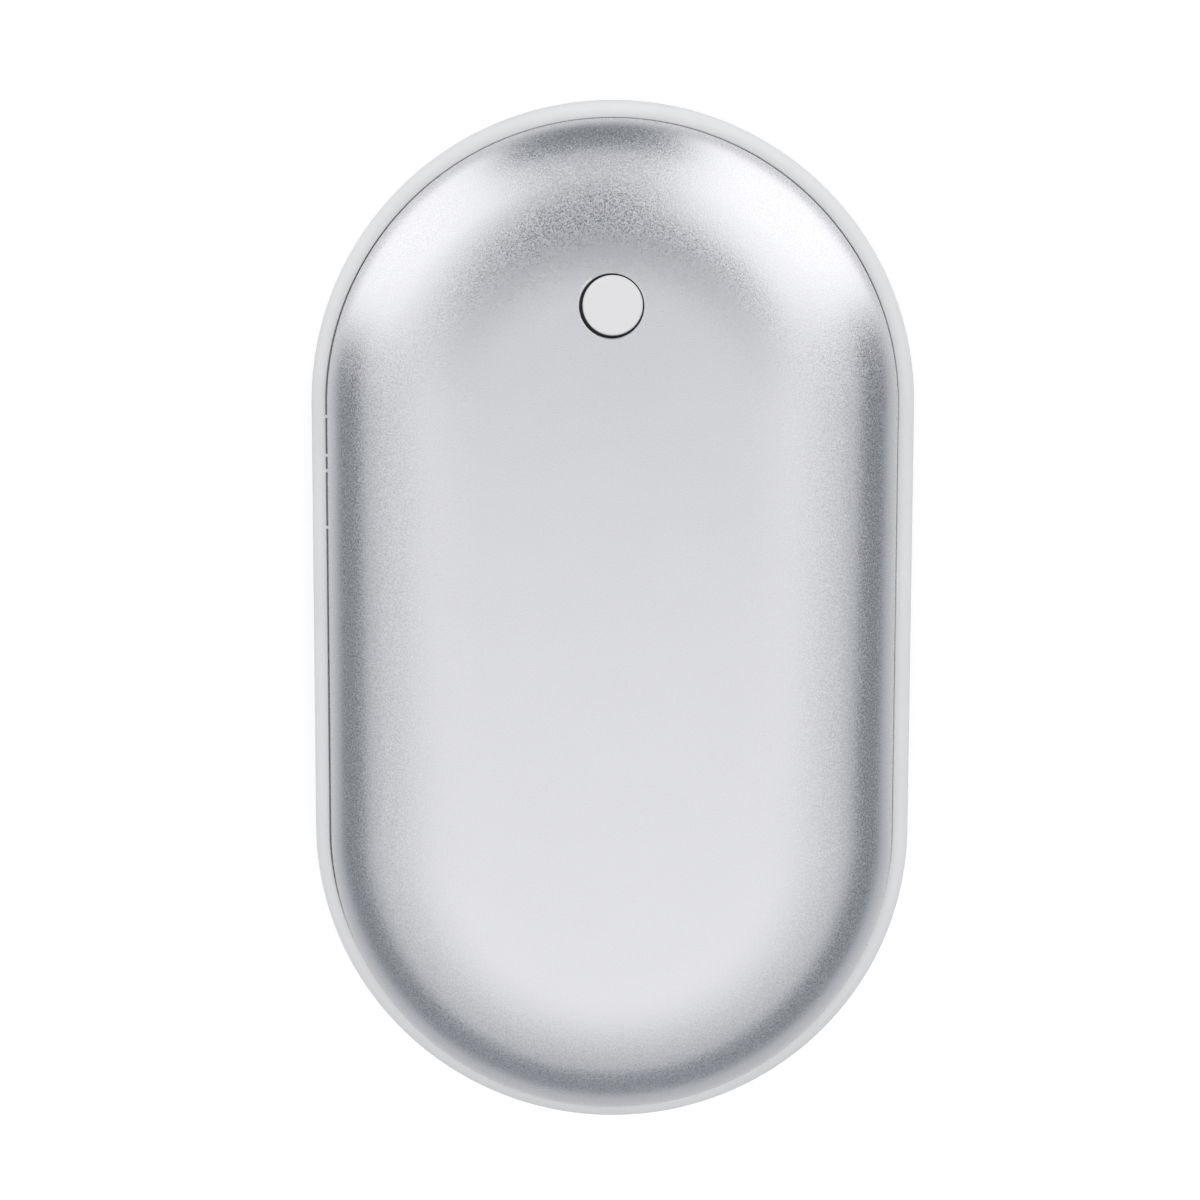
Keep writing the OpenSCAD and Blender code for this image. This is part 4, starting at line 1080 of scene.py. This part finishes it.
@dataclass
class ChargingInlet:
    """The charging inlet: a folded metal sleeve, the tongue inside it and two rows of contacts."""

    width: float = 8.94
    height: float = 3.26
    back_y: float = 40.4
    front_y: float = 49.4
    wall: float = 0.3
    back_edge: float = 0.25
    lip_edge: float = 0.14
    peg: tuple[float, float, float] = (4.32, 41.9, 3.0)
    lock_x: float = 1.6
    blade_half: Point2 = (3.345, 0.35)
    contact_count: int = 12
    contact_pitch: float = 0.5

    def form(self, width: float, height: float, from_y: float, to_y: float) -> bpy.types.Mesh:
        """A closed slot-shaped prism of a width and height, from one place along Y to another."""
        r = height / 2
        return self.laid([(r * 0.5, from_y), (r, from_y), (r, to_y), (r * 0.5, to_y)], (width - height) / 2)

    def laid(self, profile: Sequence[Point2], half_straight: float) -> bpy.types.Mesh:
        """Sweeps a profile of radius and place along Y round a slot, and closes both of its ends."""
        mesh = Outline(half_straight, 24).pan(profile, "plated_inlet")
        mesh.transform(Matrix(((0, 1, 0, 0), (0, 0, 1, 0), (1, 0, 0, 0), (0, 0, 0, 1))))
        return mesh

    def sleeve(self) -> None:
        """The metal sleeve with its rolled lip, the fold's seam underneath and four pegs."""
        r, w, b, e = self.height / 2, self.wall, self.back_edge, self.lip_edge
        profile = [
            (r * 0.5, self.back_y), (r - b, self.back_y), *arc((r - b, self.back_y + b), b, -90, 0, 4),
            *arc((r - w + e, self.front_y - e), e, 0.0, 180.0, 8), (r - w, self.back_y + w),
            (r * 0.5, self.back_y + w),
        ]
        mesh = self.laid(profile, (self.width - self.height) / 2)
        shape = block((-0.15, -0.4, -2.42), (0.15, 0.4, -1.0), 0.06)
        x, y, step = self.peg
        pegs = [repeated(shape, "plated_inlet", 2, (sign * x, y, 0), (0, step, 0)) for sign in (-1, 1)]
        seam = block((-0.03, 41.2, -1.8), (0.03, 50, -1.56), 0.01)
        locks = [block((sign * self.lock_x - 0.5, 46.2, -1.8), (sign * self.lock_x + 0.5, 46.26, -1.58), 0.01)
                 for sign in (-1, 1)]
        mesh = combined(mesh, add=pegs, cut=[seam, *locks])
        piece("inlet_sleeve", moved(mesh, z=MIDDLE), "inlet_shell")

    def tongue(self) -> None:
        """The moulded tongue with its root block."""
        x, z = self.blade_half
        root = self.form(self.width - 0.64, self.height - 0.64, 40.7, 43.1)
        mesh = combined(root, add=[block((-x, 41, -z), (x, 48.8, z), 0.12, 3)])
        piece("inlet_tongue_moulding", moved(mesh, z=MIDDLE), "inlet_tongue")

    def contacts(self) -> None:
        """Two rows of flat contacts with softened edges, one on each face of the tongue."""
        strip = block((-0.125, -2.1, 0.0), (0.125, 2.1, 0.04), 0.015)
        half_row = (self.contact_count - 1) / 2 * self.contact_pitch
        rows = [repeated(moved(strip, turn=turn, axis="Y"), "gold_contact", self.contact_count,
                         (-half_row, 46.2, sign * self.blade_half[1]), (self.contact_pitch, 0, 0))
                for turn, sign in ((0.0, 1), (180.0, -1))]
        piece("inlet_contact_rows", moved(joined(*rows), z=MIDDLE), "inlet_contacts")

    def build(self) -> None:
        """Makes the sleeve, the tongue and the contacts."""
        self.sleeve()
        self.tongue()
        self.contacts()


@dataclass
class Lights:
    """The indicator lights, the pipe that carries them through the band, and the lights under the button."""

    row: PipRow = PipRow()
    bar_r: Point2 = (23.9, 25.2)
    bar_z: Point2 = (-1.53, 1.2)
    bar_reach: float = 1.3
    pip_foot: float = 24.9995
    lamp_r: float = 23.15

    def pipe(self) -> None:
        """The curved bar with a domed pip for each light."""
        section = rounded((self.bar_r[0], self.bar_z[0]), (self.bar_r[1], self.bar_z[1]), 0.15, 3)
        half_turn = math.degrees(math.asin(self.bar_reach / self.bar_r[0]))
        start, sweep = self.row.first - half_turn, self.row.step * (self.row.count - 1) + 2 * half_turn
        turns = [math.radians(start + sweep * i / 32) for i in range(33)]
        shape = bmesh.new()
        skinned(shape, [[shape.verts.new((r * MM * math.sin(a), r * MM * math.cos(a), z * MM))
                         for r, z in section] for a in turns], capped=True)
        bar = moved(closed("bar", shape), y=HALF_STRAIGHT)
        pip = lathe([(0, -0.25), (0.6, -0.25), *bulge(0.6, 3.98, 0.12), (0, 4.1)], 32)
        pips = self.row.copies(moved(pip, turn=-90.0, axis="X"), "clear_pipe", self.pip_foot)
        piece("light_pipe_moulding", moved(combined(bar, add=[pips]), z=MIDDLE), "light_pipe")

    def lamps(self) -> None:
        """The small lamps: a white body with a domed lens."""
        side = combined(block((-0.75, -0.5, 0), (0.75, 0.5, 0.8), 0.06),
                        add=[lathe([(0, 0.5), (0.42, 0.5), *bulge(0.42, 0.72, 0.26), (0, 0.98)], 24)])
        piece("indicator_lamps", self.row.copies(side, "light_lens", self.lamp_r, BOARD_TOP),
              "indicator_lights")
        flat = combined(block((-0.4, -0.8, 0), (0.4, 0.8, 0.45), 0.05),
                        add=[lathe([(0, 0.3), (0.32, 0.3), (0.3, 0.5), (0.2, 0.57), (0, 0.6)], 24)])
        low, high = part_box("button_lights")
        x, y = ((low[i] + high[i]) / 2 / MM for i in (0, 1))
        reach = (high.x - low.x) / 2 / MM - 0.4
        pair = repeated(flat, "light_lens", 2, (x - reach, y, BOARD_TOP), (2 * reach, 0, 0))
        piece("button_lamps", pair, "button_lights")

    def build(self) -> None:
        """Makes the pipe and the lamps."""
        self.pipe()
        self.lamps()


@dataclass
class Screws:
    """Small pan-head screws with a cross recess and a rolled thread."""

    head_r: float = 1.8
    head_height: float = 1.3
    shank_r: float = 1.0
    pitch: float = 0.45
    board_x: float = 17.0
    board_y: float = 34.25
    tray_seat: float = 8.9

    def screw(self, shank: float) -> bpy.types.Mesh:
        """One screw that stands on z = 0, with a shank of a given length below."""
        root = self.shank_r - 0.13
        rows = int(shank / (self.pitch / 6))

        def thread(turn: float, z: float) -> float:
            """How far the thread stands out at a place on the shank."""
            if not -shank + 0.3 < z < -0.35:
                return 0.0
            return 0.26 * abs((z / self.pitch - turn) % 1.0 - 0.5)

        body = [(root, -shank + 0.15 + (shank - 0.15) * i / rows) for i in range(rows)]
        head = [(root, -0.01), (root, 0.0), (self.head_r - 0.1, 0.0), (self.head_r, 0.1), (self.head_r, 0.55),
                *arc((self.head_r - 0.75, 0.55), 0.75, 0.0, 90.0, 8)[1:], (0.0, self.head_height)]
        plain = lathe([(0.0, -shank), (root - 0.15, -shank), *body, *head], 36, thread)
        return combined(plain, cut=[block((-x, -y, 0.72), (x, y, 2.0), 0.05)
                                    for x, y in ((0.9, 0.2), (0.2, 0.9))])

    def build(self) -> None:
        """Makes the board's two screws and the tray's four."""
        slot = "plated_screw"
        board = repeated(self.screw(5.0), slot, 2, (-self.board_x, self.board_y, BOARD_TOP),
                         (2 * self.board_x, 0, 0), step=31.0)
        piece("board_screw_pair", board, "board_screws")
        head = moved(self.screw(5.6), turn=180.0, axis="X")
        rows = [repeated(head, slot, 2, (x, -BOSS_Y, self.tray_seat), (0, 2 * BOSS_Y, 0), first=turn,
                         step=40.0) for x, turn in ((-BOSS_X, 12.0), (BOSS_X, 67.0))]
        piece("tray_screw_set", joined(*rows), "tray_screws")


@dataclass
class BoardParts:
    """What is soldered on the circuit board. A place is x, the distance from the board's edge and a turn."""

    edge_y: float = 28.25
    lift: float = 0.1
    leg_pitch: float = 1.27
    leg_half: Point2 = (0.2, 0.075)
    capacitors: tuple[Point, ...] = (
        (6.4, 11, 90), (8.8, 10.9, 90), (-6.4, 14.2, 90), (-8.6, 13.9, 90), (-20.4, 4.6, 90),
        (19.6, 3.2, 90),
    )
    resistors: tuple[Point, ...] = (
        (3.8, 8.2, 90), (3.8, 10.6, 90), (-14.7, 10.6, 90), (11.2, 10.9, 90), (-5, 7.4, 90),
        (-16.8, 2.2, 0), (9.4, 2.2, 0), (12.4, 2.2, 0), (15.4, 2.2, 0),
    )

    def on_board(self, name: str, mesh: bpy.types.Mesh, node: str, *places: Point) -> None:
        """Makes a piece from a copy of a part at each of its places."""
        copies = [moved(mesh, x, self.edge_y + y, BOARD_TOP, turn) for x, y, turn in places]
        piece(name, joined(*copies) if len(copies) > 1 else copies[0], node)

    def chip(self, size: Point, lift: float) -> bpy.types.Mesh:
        """A moulded chip body with drafted sides, a parting line and a round mark in one corner."""
        x, y, z = (0.5 * size[0], 0.5 * size[1], size[2])
        shape = bmesh.new()
        bmesh.ops.create_cube(shape, size=1.0)
        upright = [e for e in shape.edges if abs(e.verts[0].co.z - e.verts[1].co.z) > 0.5]
        bmesh.ops.subdivide_edges(shape, edges=upright, cuts=1)
        for vert in shape.verts:
            draft = 0.08 * abs(vert.co.z) * 2
            sx, sy = math.copysign(x - draft, vert.co.x), math.copysign(y - draft, vert.co.y)
            vert.co = Vector((sx, sy, lift + z * (vert.co.z + 0.5))) * MM
        round_edges(shape, 0.05)
        mark = lathe([(0, -0.08), (0.25, -0.08), (0.28, 0.1), (0, 0.1)], 20)
        return combined(closed("chip", shape, 1e-8), cut=[moved(mark, 0.6 - x, 0.6 - y, lift + z)])

    def legs(self, size: Point, lift: float, count: int, pitch: float) -> bpy.types.Mesh:
        """Formed legs along both long sides of a chip.

        Args:
            size: the chip's size.
            lift: how far it stands over the board.
            count: how many legs a side has.
            pitch: the way from one to the next.

        Returns:
            The legs' mesh.
        """
        high = lift + size[2] / 2
        half_x, half = self.leg_half
        line = [(-0.05, high - half), (0.3, high - half), (0.42, high - 0.14), (0.43, 0.2), (0.5, 0.085),
                (1.0, half)]
        shape = bmesh.new()
        rings = []
        for (y, z), before, after in zip(line, [line[0], *line], [*line[1:], line[-1]]):
            way = (Vector(after) - Vector(before)).normalized()
            off = Vector((-way.y, way.x)) * half
            rings.append([shape.verts.new(Vector((x * half_x, y + s * off.x, max(0.0, z + s * off.y))) * MM)
                          for x, s in ((-1, -1), (1, -1), (1, 1), (-1, 1))])
        skinned(shape, rings, capped=True)
        leg = closed("leg", shape, 1e-8)
        half_row = (count - 1) / 2 * pitch
        return joined(*(
            repeated(leg, "tinned_copper", count, (-sign * half_row, sign * size[1] / 2, 0),
                     (sign * pitch, 0, 0), first=turn)
            for sign, turn in ((1, 0.0), (-1, 180.0))
        ))

    def ended(self, size: Point, end: float) -> bpy.types.Mesh:
        """A small ceramic part with two tinned ends of a length, which its attribute "tinned" marks."""
        x, y, z = size[0] / 2, size[1] / 2, size[2]
        body = block((-x + end, -y + 0.03, 0.03), (x - end, y - 0.03, z - 0.03), 0.03)
        tips = [block((-x, -y, 0), (-x + end, y, z), 0.07), block((x - end, -y, 0), (x, y, z), 0.07)]
        whole = bmesh.new()
        tinned = whole.verts.layers.float.new("tinned")
        for mesh, value in ((body, 0.0), *((tip, 1.0) for tip in tips)):
            start = len(whole.verts)
            whole.from_mesh(mesh)
            whole.verts.ensure_lookup_table()
            for vert in whole.verts[start:]:
                vert[tinned] = value
        return meshed("ended", whole)

    def inductor(self) -> bpy.types.Mesh:
        """A shielded drum on a square foot, with a filled joint round its core."""
        drum = lathe([(0, 0.3), (2.75, 0.3), (2.9, 0.45), (2.9, 2.8), (2.75, 2.97), (2.35, 3.0), (2.3, 2.9),
                      (2.1, 2.9), (2.05, 3.0), (1.65, 3.0), (1.58, 2.8), (0, 2.8)], 56)
        return combined(block((-3, -3, 0), (3, 3, 0.5), 0.12), add=[drum])

    def build(self) -> None:
        """Makes the chips, their legs and the small parts."""
        for name, size, count, place in (("controller", (9.9, 3.9, 1.4), 8, (10, 6.2, 0)),
                                         ("charger", (4.9, 3.9, 1.4), 4, (-0.6, 8.6, 90))):
            self.on_board(f"{name}_body", self.chip(size, self.lift), f"{name}_chip", place)
            legs = self.legs(size, self.lift, count, self.leg_pitch)
            self.on_board(f"{name}_leg_rows", legs, f"{name}_legs", place)
        size = (2.9, 1.5, 1.0)
        transistor = joined(self.chip(size, 0.0), self.legs(size, 0.0, 2, 1.9))
        self.on_board("heater_transistor_pair", transistor, "heater_transistors",
                      (-12, 10.8, 90), (-7.6, 10.8, 90))
        self.on_board("shielded_inductor", self.inductor(), "power_inductor", (-11.6, 5.4, 0))
        self.on_board("capacitor_set", self.ended((2.0, 1.25, 1.1), 0.4), "chip_capacitors",
                      *self.capacitors)
        self.on_board("resistor_set", self.ended((1.6, 0.8, 0.45), 0.3), "chip_resistors", *self.resistors)


@dataclass
class BatteryPack:
    """The two cells and their shrink sleeves."""

    cell_x: float = 9.35

    def laid(self, mesh: bpy.types.Mesh, side: int) -> bpy.types.Mesh:
        """Lays a turned shape along Y on one cell's axis."""
        return moved(moved(mesh, turn=-90.0, axis="X"), side * self.cell_x, CELL_BACK_Y, MIDDLE)

    def build(self) -> None:
        """Makes the cells and their sleeves."""
        can = lathe([
            (0, 0), (8.5, 0), *arc((8.55, 0.5), 0.5, -90, 0, 5), (9.05, 60.3), (8.95, 60.5),
            *arc((8.85, 61.1), 0.3, 250, 110, 5), (8.95, 61.7), (9.05, 61.9), (9.05, 64.0),
            *arc((8.75, 64.2), 0.3, 0, 90, 5), (7.5, 64.5), (7.3, 64.3), (6.9, 64.0), (4.2, 64.0),
            (3.4, 64.15), (2.75, 64.4), *arc((2.45, 64.7), 0.3, 0, 90, 4), (0, 65),
        ], 96)
        sleeve = lathe([
            (9.06, 0.12), (9.1, 0), (9.16, 0), (9.2, 0.06), (9.2, 60.2), (9.08, 60.6), (9.05, 61.1),
            (9.08, 61.6), (9.2, 62.0), (9.2, 64.3), (9.14, 64.48), (9.08, 64.5), (9.06, 64.4),
            (9.06, 62.1), (8.98, 61.6), (8.93, 61.1), (8.98, 60.6), (9.06, 60.1), (9.06, 0.12),
        ], 96)
        for side, name in ((-1, "left"), (1, "right")):
            piece(f"{name}_cell_can", self.laid(can, side), f"{name}_cell")
        piece("shrink_sleeves", joined(*(self.laid(sleeve, side) for side in (-1, 1))), "cell_sleeves")


@dataclass
class Wiring:
    """The leads inside. Heights are counted from the plane between the shells."""

    lane_y: float = 28.3
    landing_y: float = 30.25
    strip_y: float = 27.49
    on_board: float = -1.53
    under_board: float = 3.33
    film_z: float = 12.35
    gate_x: float = 9.8
    pad_y: float = 20.55
    pack_lead: float = 1.2
    heater_lead: float = 0.9
    sensor_lead: float = 0.6

    def raised(self, mesh: bpy.types.Mesh, back: bool = False) -> bpy.types.Mesh:
        """Lifts a lead to its place, on the back half for those of the back film."""
        if back:
            mesh = mesh.copy()
            mesh.transform(Matrix.Diagonal((1, 1, -1, 1)))
            mesh.flip_normals()
        return moved(mesh, z=MIDDLE)

    def pack_leads(self) -> None:
        """The red and the black lead from the cells to the board."""
        x, y, z = -6.7, self.strip_y + 0.62, self.on_board + self.pack_lead / 2
        red = tube([
            (x, y, 2.6), (x, y, 1.2), (x, y, -0.2), (x, self.landing_y - 1, z), (x, self.landing_y + 0.6, z),
        ], self.pack_lead, "red_insulation")
        piece("red_lead", self.raised(red), "positive_lead")
        back_y, high, front_y, x = CELL_BACK_Y - 0.77, 4.4, 27.34, 6.4
        black = tube([
            (0, back_y, -2), (0, back_y, 1), (0, back_y, high), (0, back_y + 2.77, high),
            (0, back_y + 12.77, high), (0, 0, high), (0, front_y - 8, high),
            (-0.2, front_y + 0.1, high + 0.2), (3, self.lane_y + 0.2, high - 0.8),
            (x - 0.8, self.lane_y + 0.5, 1.8), (x, self.landing_y - 1.2, z), (x, self.landing_y + 0.3, z),
        ], self.pack_lead, "black_insulation")
        piece("black_lead", self.raised(black), "negative_lead")

    def drop(self, x: float, z: float, start: Sequence[Point], dip: float, low: float,
             end_y: float) -> list[Point]:
        """A lead's way from its film down to the board, through the lane at the pack's front.

        Args:
            x: the lead's place across.
            z: its height at the board.
            start: its first points, as places along Y and heights.
            dip: how far from its landing it starts to turn.
            low: the height of its first bend in the lane.
            end_y: where it ends.

        Returns:
            The way's corners.
        """
        rest = ((self.lane_y, low), (self.lane_y, 6), (self.lane_y, z + dip), (self.lane_y + 0.3, z + 0.2),
                (end_y, z))
        return [(x, y, height) for y, height in (*start, *rest)]

    def heater_leads(self) -> None:
        """Two white leads from each film."""
        top = self.film_z - 0.47
        start = ((self.pad_y + 0.7, top), (23.05, top), (self.lane_y - 1.2, top - 0.1))
        for name, way, foot in (("front", -1, self.on_board), ("back", 1, self.under_board)):
            tubes = []
            for side in (-1, 1):
                x = way * (self.gate_x + side * 0.65)
                path = self.drop(x, foot + self.heater_lead / 2, start, 2.6, top - 1.6, self.landing_y)
                tubes.append(self.raised(tube(path, self.heater_lead, "white_insulation"), way == 1))
            piece(f"{name}_heater_pair", joined(*tubes), f"{name}_leads")

    def sensors(self) -> None:
        """A glass bead on each film and its pair."""
        made = []
        top, bead_y = self.film_z - 0.92, self.pad_y + 1.4
        start = ((bead_y, top), (23.55, top), (self.lane_y - 0.9, top - 0.3))
        bead = lathe([(0, -0.9), *arc((0, 0), 0.9, -75, 60, 12), (0.36, 1.0), (0.3, 1.3), (0, 1.3)], 32)
        for way, foot in ((-1, self.on_board), (1, self.under_board)):
            x = way * (self.gate_x - 2.1)
            path = self.drop(x, foot + self.sensor_lead / 2, start, 2.4, top - 1.8, self.landing_y - 0.4)
            pair = tube(path, self.sensor_lead, "sensor_epoxy")
            placed = moved(moved(bead, turn=-90.0, axis="X"), x, bead_y, top)
            made.append(self.raised(joined(pair, placed), way == 1))
        piece("sensor_beads", joined(*made), "heat_sensors")

    def build(self) -> None:
        """Makes every lead."""
        self.pack_leads()
        self.heater_leads()
        self.sensors()


@dataclass
class FeltPads:
    """The two insulating pads: needled felt, pressed between the films and the cells."""

    voxel: float = 0.65 * MM
    nap: float = 0.05 * MM

    def pad(self, node: str) -> None:
        """Softens a pad's solid into felt."""
        shape = bmesh.new()
        shape.from_mesh(frame["nodes"][node].data)
        host = linked("pad", closed("pad", shape, 1e-6))
        remesh = host.modifiers.new("felt", "REMESH")
        remesh.mode = "VOXEL"
        remesh.voxel_size = self.voxel
        relax = host.modifiers.new("relax", "SMOOTH")
        relax.factor = 0.5
        relax.iterations = 3
        mesh = evaluated(host)
        for vert, normal in zip(mesh.vertices, [v.normal.copy() for v in mesh.vertices]):
            sway = noise.noise(vert.co / (1.7 * MM)) + 0.5 * noise.noise(vert.co / (0.8 * MM))
            vert.co -= normal * self.nap * (0.9 + 0.6 * sway)
        made = piece(f"{node}_felt", mesh, node, angle=60.0)

    def build(self) -> None:
        """Makes both pads."""
        for node in ("front_insulation", "back_insulation"):
            self.pad(node)


@dataclass(frozen=True)
class Window:
    """A tall softbox in front of the warmer: its two sides and its top in degrees, and its light."""

    left: float
    right: float
    top: float
    light: float


@dataclass
class Studio:
    """A pale floor with a pool of painted light round the warmer, soft light from all round and above, and
    the camera.
    """

    distance: float = 0.32
    tilt_front: float = 8.45
    tilt_left: float = -0.5
    roll: float = 0.11
    focal_pixels: float = 3263.0
    frame_pixels: float = 1200.0
    centre_pixel: Point2 = (612.2, 615.7)
    sensor: float = 36.0
    floor_half: float = 3.0
    floor_colour: float = 0.94
    # Where the floor's pool of painted light starts and ends its fade to the wall's tone, in metres from the
    # middle.
    light_pool: Point2 = (0.05, 0.16)
    wall: tuple[float, float, float] = (2900.0, 600.0, 2500.0)
    far_glow: float = 0.76
    table_rise: float = -48.6
    table_light: float = 0.72
    room_light: float = 0.61
    ceiling_rise: float = 55.6
    ceiling_light: float = 0.985
    patch: Point2 = (-3.0, 72.8)
    patch_edge: Point2 = (21.5, 17.0)
    patch_light: float = 0.32
    dim_tint: Colour = (0.94, 1.0, 1.05)
    lamp_power: float = 6.0
    lamp_size: float = 1.2
    # Painted light: a glow on the floor near the warmer that lifts its contact shadow.
    shadow_lifting_glow: float = 0.2
    windows: tuple[Window, ...] = (Window(-79.0, -26.5, 55.0, 1.24), Window(16.0, 74.0, 65.0, 1.32))

    def camera(self) -> None:
        """Puts the camera where the photograph was taken from."""
        centre = Vector((0, 0, node_middle("mid_frame").z))
        away = Vector((-math.tan(math.radians(self.tilt_left)), math.tan(math.radians(self.tilt_front)), 1.0))
        away.normalize()
        turn = self._turn(away)
        data = bpy.data.cameras.new("camera")
        data.sensor_width = self.sensor
        data.lens = self.focal_pixels / self.frame_pixels * self.sensor
        data.clip_start = 0.01
        made = linked("camera", data)
        made.location = centre + self.distance * away
        across, down = ((at - self.frame_pixels / 2) * self.distance / self.focal_pixels
                        for at in self.centre_pixel)
        aim = centre - across * turn.col[0] + down * turn.col[1]
        made.rotation_mode = "QUATERNION"
        roll = Matrix.Rotation(math.radians(self.roll), 3, "Z")
        made.rotation_quaternion = (self._turn((made.location - aim).normalized()) @ roll).to_quaternion()
        bpy.context.scene.camera = made

    @staticmethod
    def _turn(back: Vector) -> Matrix:
        """A camera's turn from the direction behind it, with the picture's top towards the button."""
        right = Vector((0, 1, 0)).cross(back).normalized()
        return Matrix((right, back.cross(right), back)).transposed()

    def floor(self) -> None:
        """Lays the floor that the warmer rests on: a pool of painted light near it, whose glow also lifts its
        contact shadow to white, fading further off to the wall's even pale tone.
        """
        shape = bmesh.new()
        bmesh.ops.create_grid(shape, x_segments=1, y_segments=1, size=self.floor_half)

        def paint(graph: Graph) -> dict[str, Any]:
            """A matt white with a painted glow near the warmer that gives way to the wall's even tone."""
            across, along, _ = graph.axes()
            # How far the pool of painted light has faded towards the wall's tone.
            far = ((across * across + along * along) ** 0.5).ramp(*self.light_pool)
            return {
                "Base Color": graph.blend(far, (self.floor_colour,) * 3, (0.0, 0.0, 0.0)),
                "Roughness": 0.9,
                "Specular IOR Level": 0.0,
                "Emission Color": graph.blend(far, (self.shadow_lifting_glow,) * 3, (self.far_glow,) * 3),
                "Emission Strength": 1.0,
            }

        self._staged("floor", meshed("floor", shape), paint)

    def backdrop(self) -> None:
        """Stands a pale coved wall far off on every side. Only the camera sees it."""
        radius, cove, height = self.wall
        mesh = lathe([*arc((radius - cove, cove), cove, -90.0, 0.0, 12), (radius, height)], 96)
        made = self._staged("backdrop", mesh, lambda graph: {
            "Base Color": (0.0, 0.0, 0.0), "Specular IOR Level": 0.0,
            "Emission Color": (1.0, 1.0, 1.0), "Emission Strength": self.far_glow,
        })
        made.visible_diffuse = False
        made.visible_transmission = False
        made.visible_shadow = False

    @staticmethod
    def _staged(name: str, mesh: bpy.types.Mesh,
                paint: Callable[[Graph], dict[str, Any]]) -> bpy.types.Object:
        """Adds one piece of the set, which no glossy surface shows, with a paint of given inputs."""
        made = linked(name, mesh)
        finish = bpy.data.materials.new(f"{name}_paint")
        finish.use_nodes = True
        finish.cycles.emission_sampling = "NONE"
        graph = Graph(finish.node_tree)
        graph.principled(paint(graph))
        mesh.materials.append(finish)
        made.visible_glossy = False
        return made

    def surroundings(self) -> None:
        """Lights the room: a white table, a dim horizon, two tall windows and a broad ceiling."""
        world = bpy.data.worlds.new("studio")
        world.use_nodes = True
        bpy.context.scene.world = world
        graph = Graph(world.node_tree)
        way = graph.node("ShaderNodeTexCoord").outputs["Generated"]
        east, north, up = graph.split(way)
        turn = east.math("ARCTAN2", north) * math.degrees(1)
        rise = up.math("ARCSINE") * math.degrees(1)
        light = rise.ramp(self.table_rise - 6, self.table_rise + 6, self.table_light, self.room_light)
        ceiling = self.ceiling_light - 0.54 * north
        share = rise.ramp(self.ceiling_rise - 20, self.ceiling_rise + 20)
        light = light + (ceiling - light) * share
        edge = (math.cos(math.radians(angle)) for angle in self.patch_edge)
        light = light * self._spot(graph, way).ramp(*edge, 1.0, self.patch_light)
        ring = rise + 7.0 - 1.6 * turn.sine() + 15.0 * turn.cosine()
        dim = 0.385 + 0.06 * north * north - 0.025 * north
        light = light * (ring.size() * (1 - 0.12 * north)).ramp(15, 32, dim, 1.0)
        for window in self.windows:
            mask = (turn.ramp(window.left - 6, window.left + 6)
                    * turn.ramp(window.right - 6, window.right + 6, 1.0, 0.0)
                    * rise.ramp(window.top - 4, window.top + 4, 1.0, 0.0) * rise.ramp(-55, -35))
            light = light + (window.light - light) * mask
        tint = graph.blend(light.ramp(0.35, 0.75), self.dim_tint, (1.0, 1.0, 1.0))
        cast = graph.node("ShaderNodeBackground", sockets={"Color": tint, "Strength": light})
        graph.node("ShaderNodeOutputWorld", sockets={"Surface": cast.outputs[0]})

    def _spot(self, graph: Graph, way: bpy.types.NodeSocket) -> Field:
        """How near a direction is to the dark patch of ceiling behind the camera."""
        turn, rise = (math.radians(angle) for angle in self.patch)
        axis = (math.sin(turn) * math.cos(rise), math.cos(turn) * math.cos(rise), math.sin(rise))
        made = graph.node("ShaderNodeVectorMath", {"operation": "DOT_PRODUCT"}, {0: way, 1: axis})
        return Field(graph, made.outputs["Value"])

    def lamp(self) -> None:
        """Hangs a broad soft lamp over the warmer, which only matt surfaces show."""
        data = bpy.data.lights.new("overhead", "AREA")
        data.shape = "DISK"
        data.size = self.lamp_size
        data.energy = self.lamp_power
        made = linked("overhead", data)
        made.location = (0, 0, 1.2)
        made.visible_glossy = False

    def build(self) -> None:
        """Sets up the camera, the floor and the light."""
        self.camera()
        self.floor()
        self.backdrop()
        self.surroundings()
        self.lamp()
        bpy.context.scene.view_settings.view_transform = "Standard"


def dress_frame() -> None:
    """Gives every CAD node the finish of its slot."""
    for node, shown in frame["nodes"].items():
        finish = FINISHES[slot_of_node(node)].material()
        if not shown.data.materials:
            shown.data.materials.append(finish)
        for place in shown.material_slots:
            place.material = finish


def main() -> None:
    """Builds the studio and every piece."""
    logging.basicConfig(level=logging.INFO, format="%(name)s %(message)s")
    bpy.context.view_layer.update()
    Studio().build()
    dress_frame()
    for assembly in (Casing(), Button(), SnapDome(), ChargingInlet(), Lights(), Screws(), BoardParts(),
                     BatteryPack(), Wiring(), FeltPads()):
        assembly.build()


if __name__ == "__main__":
    main()
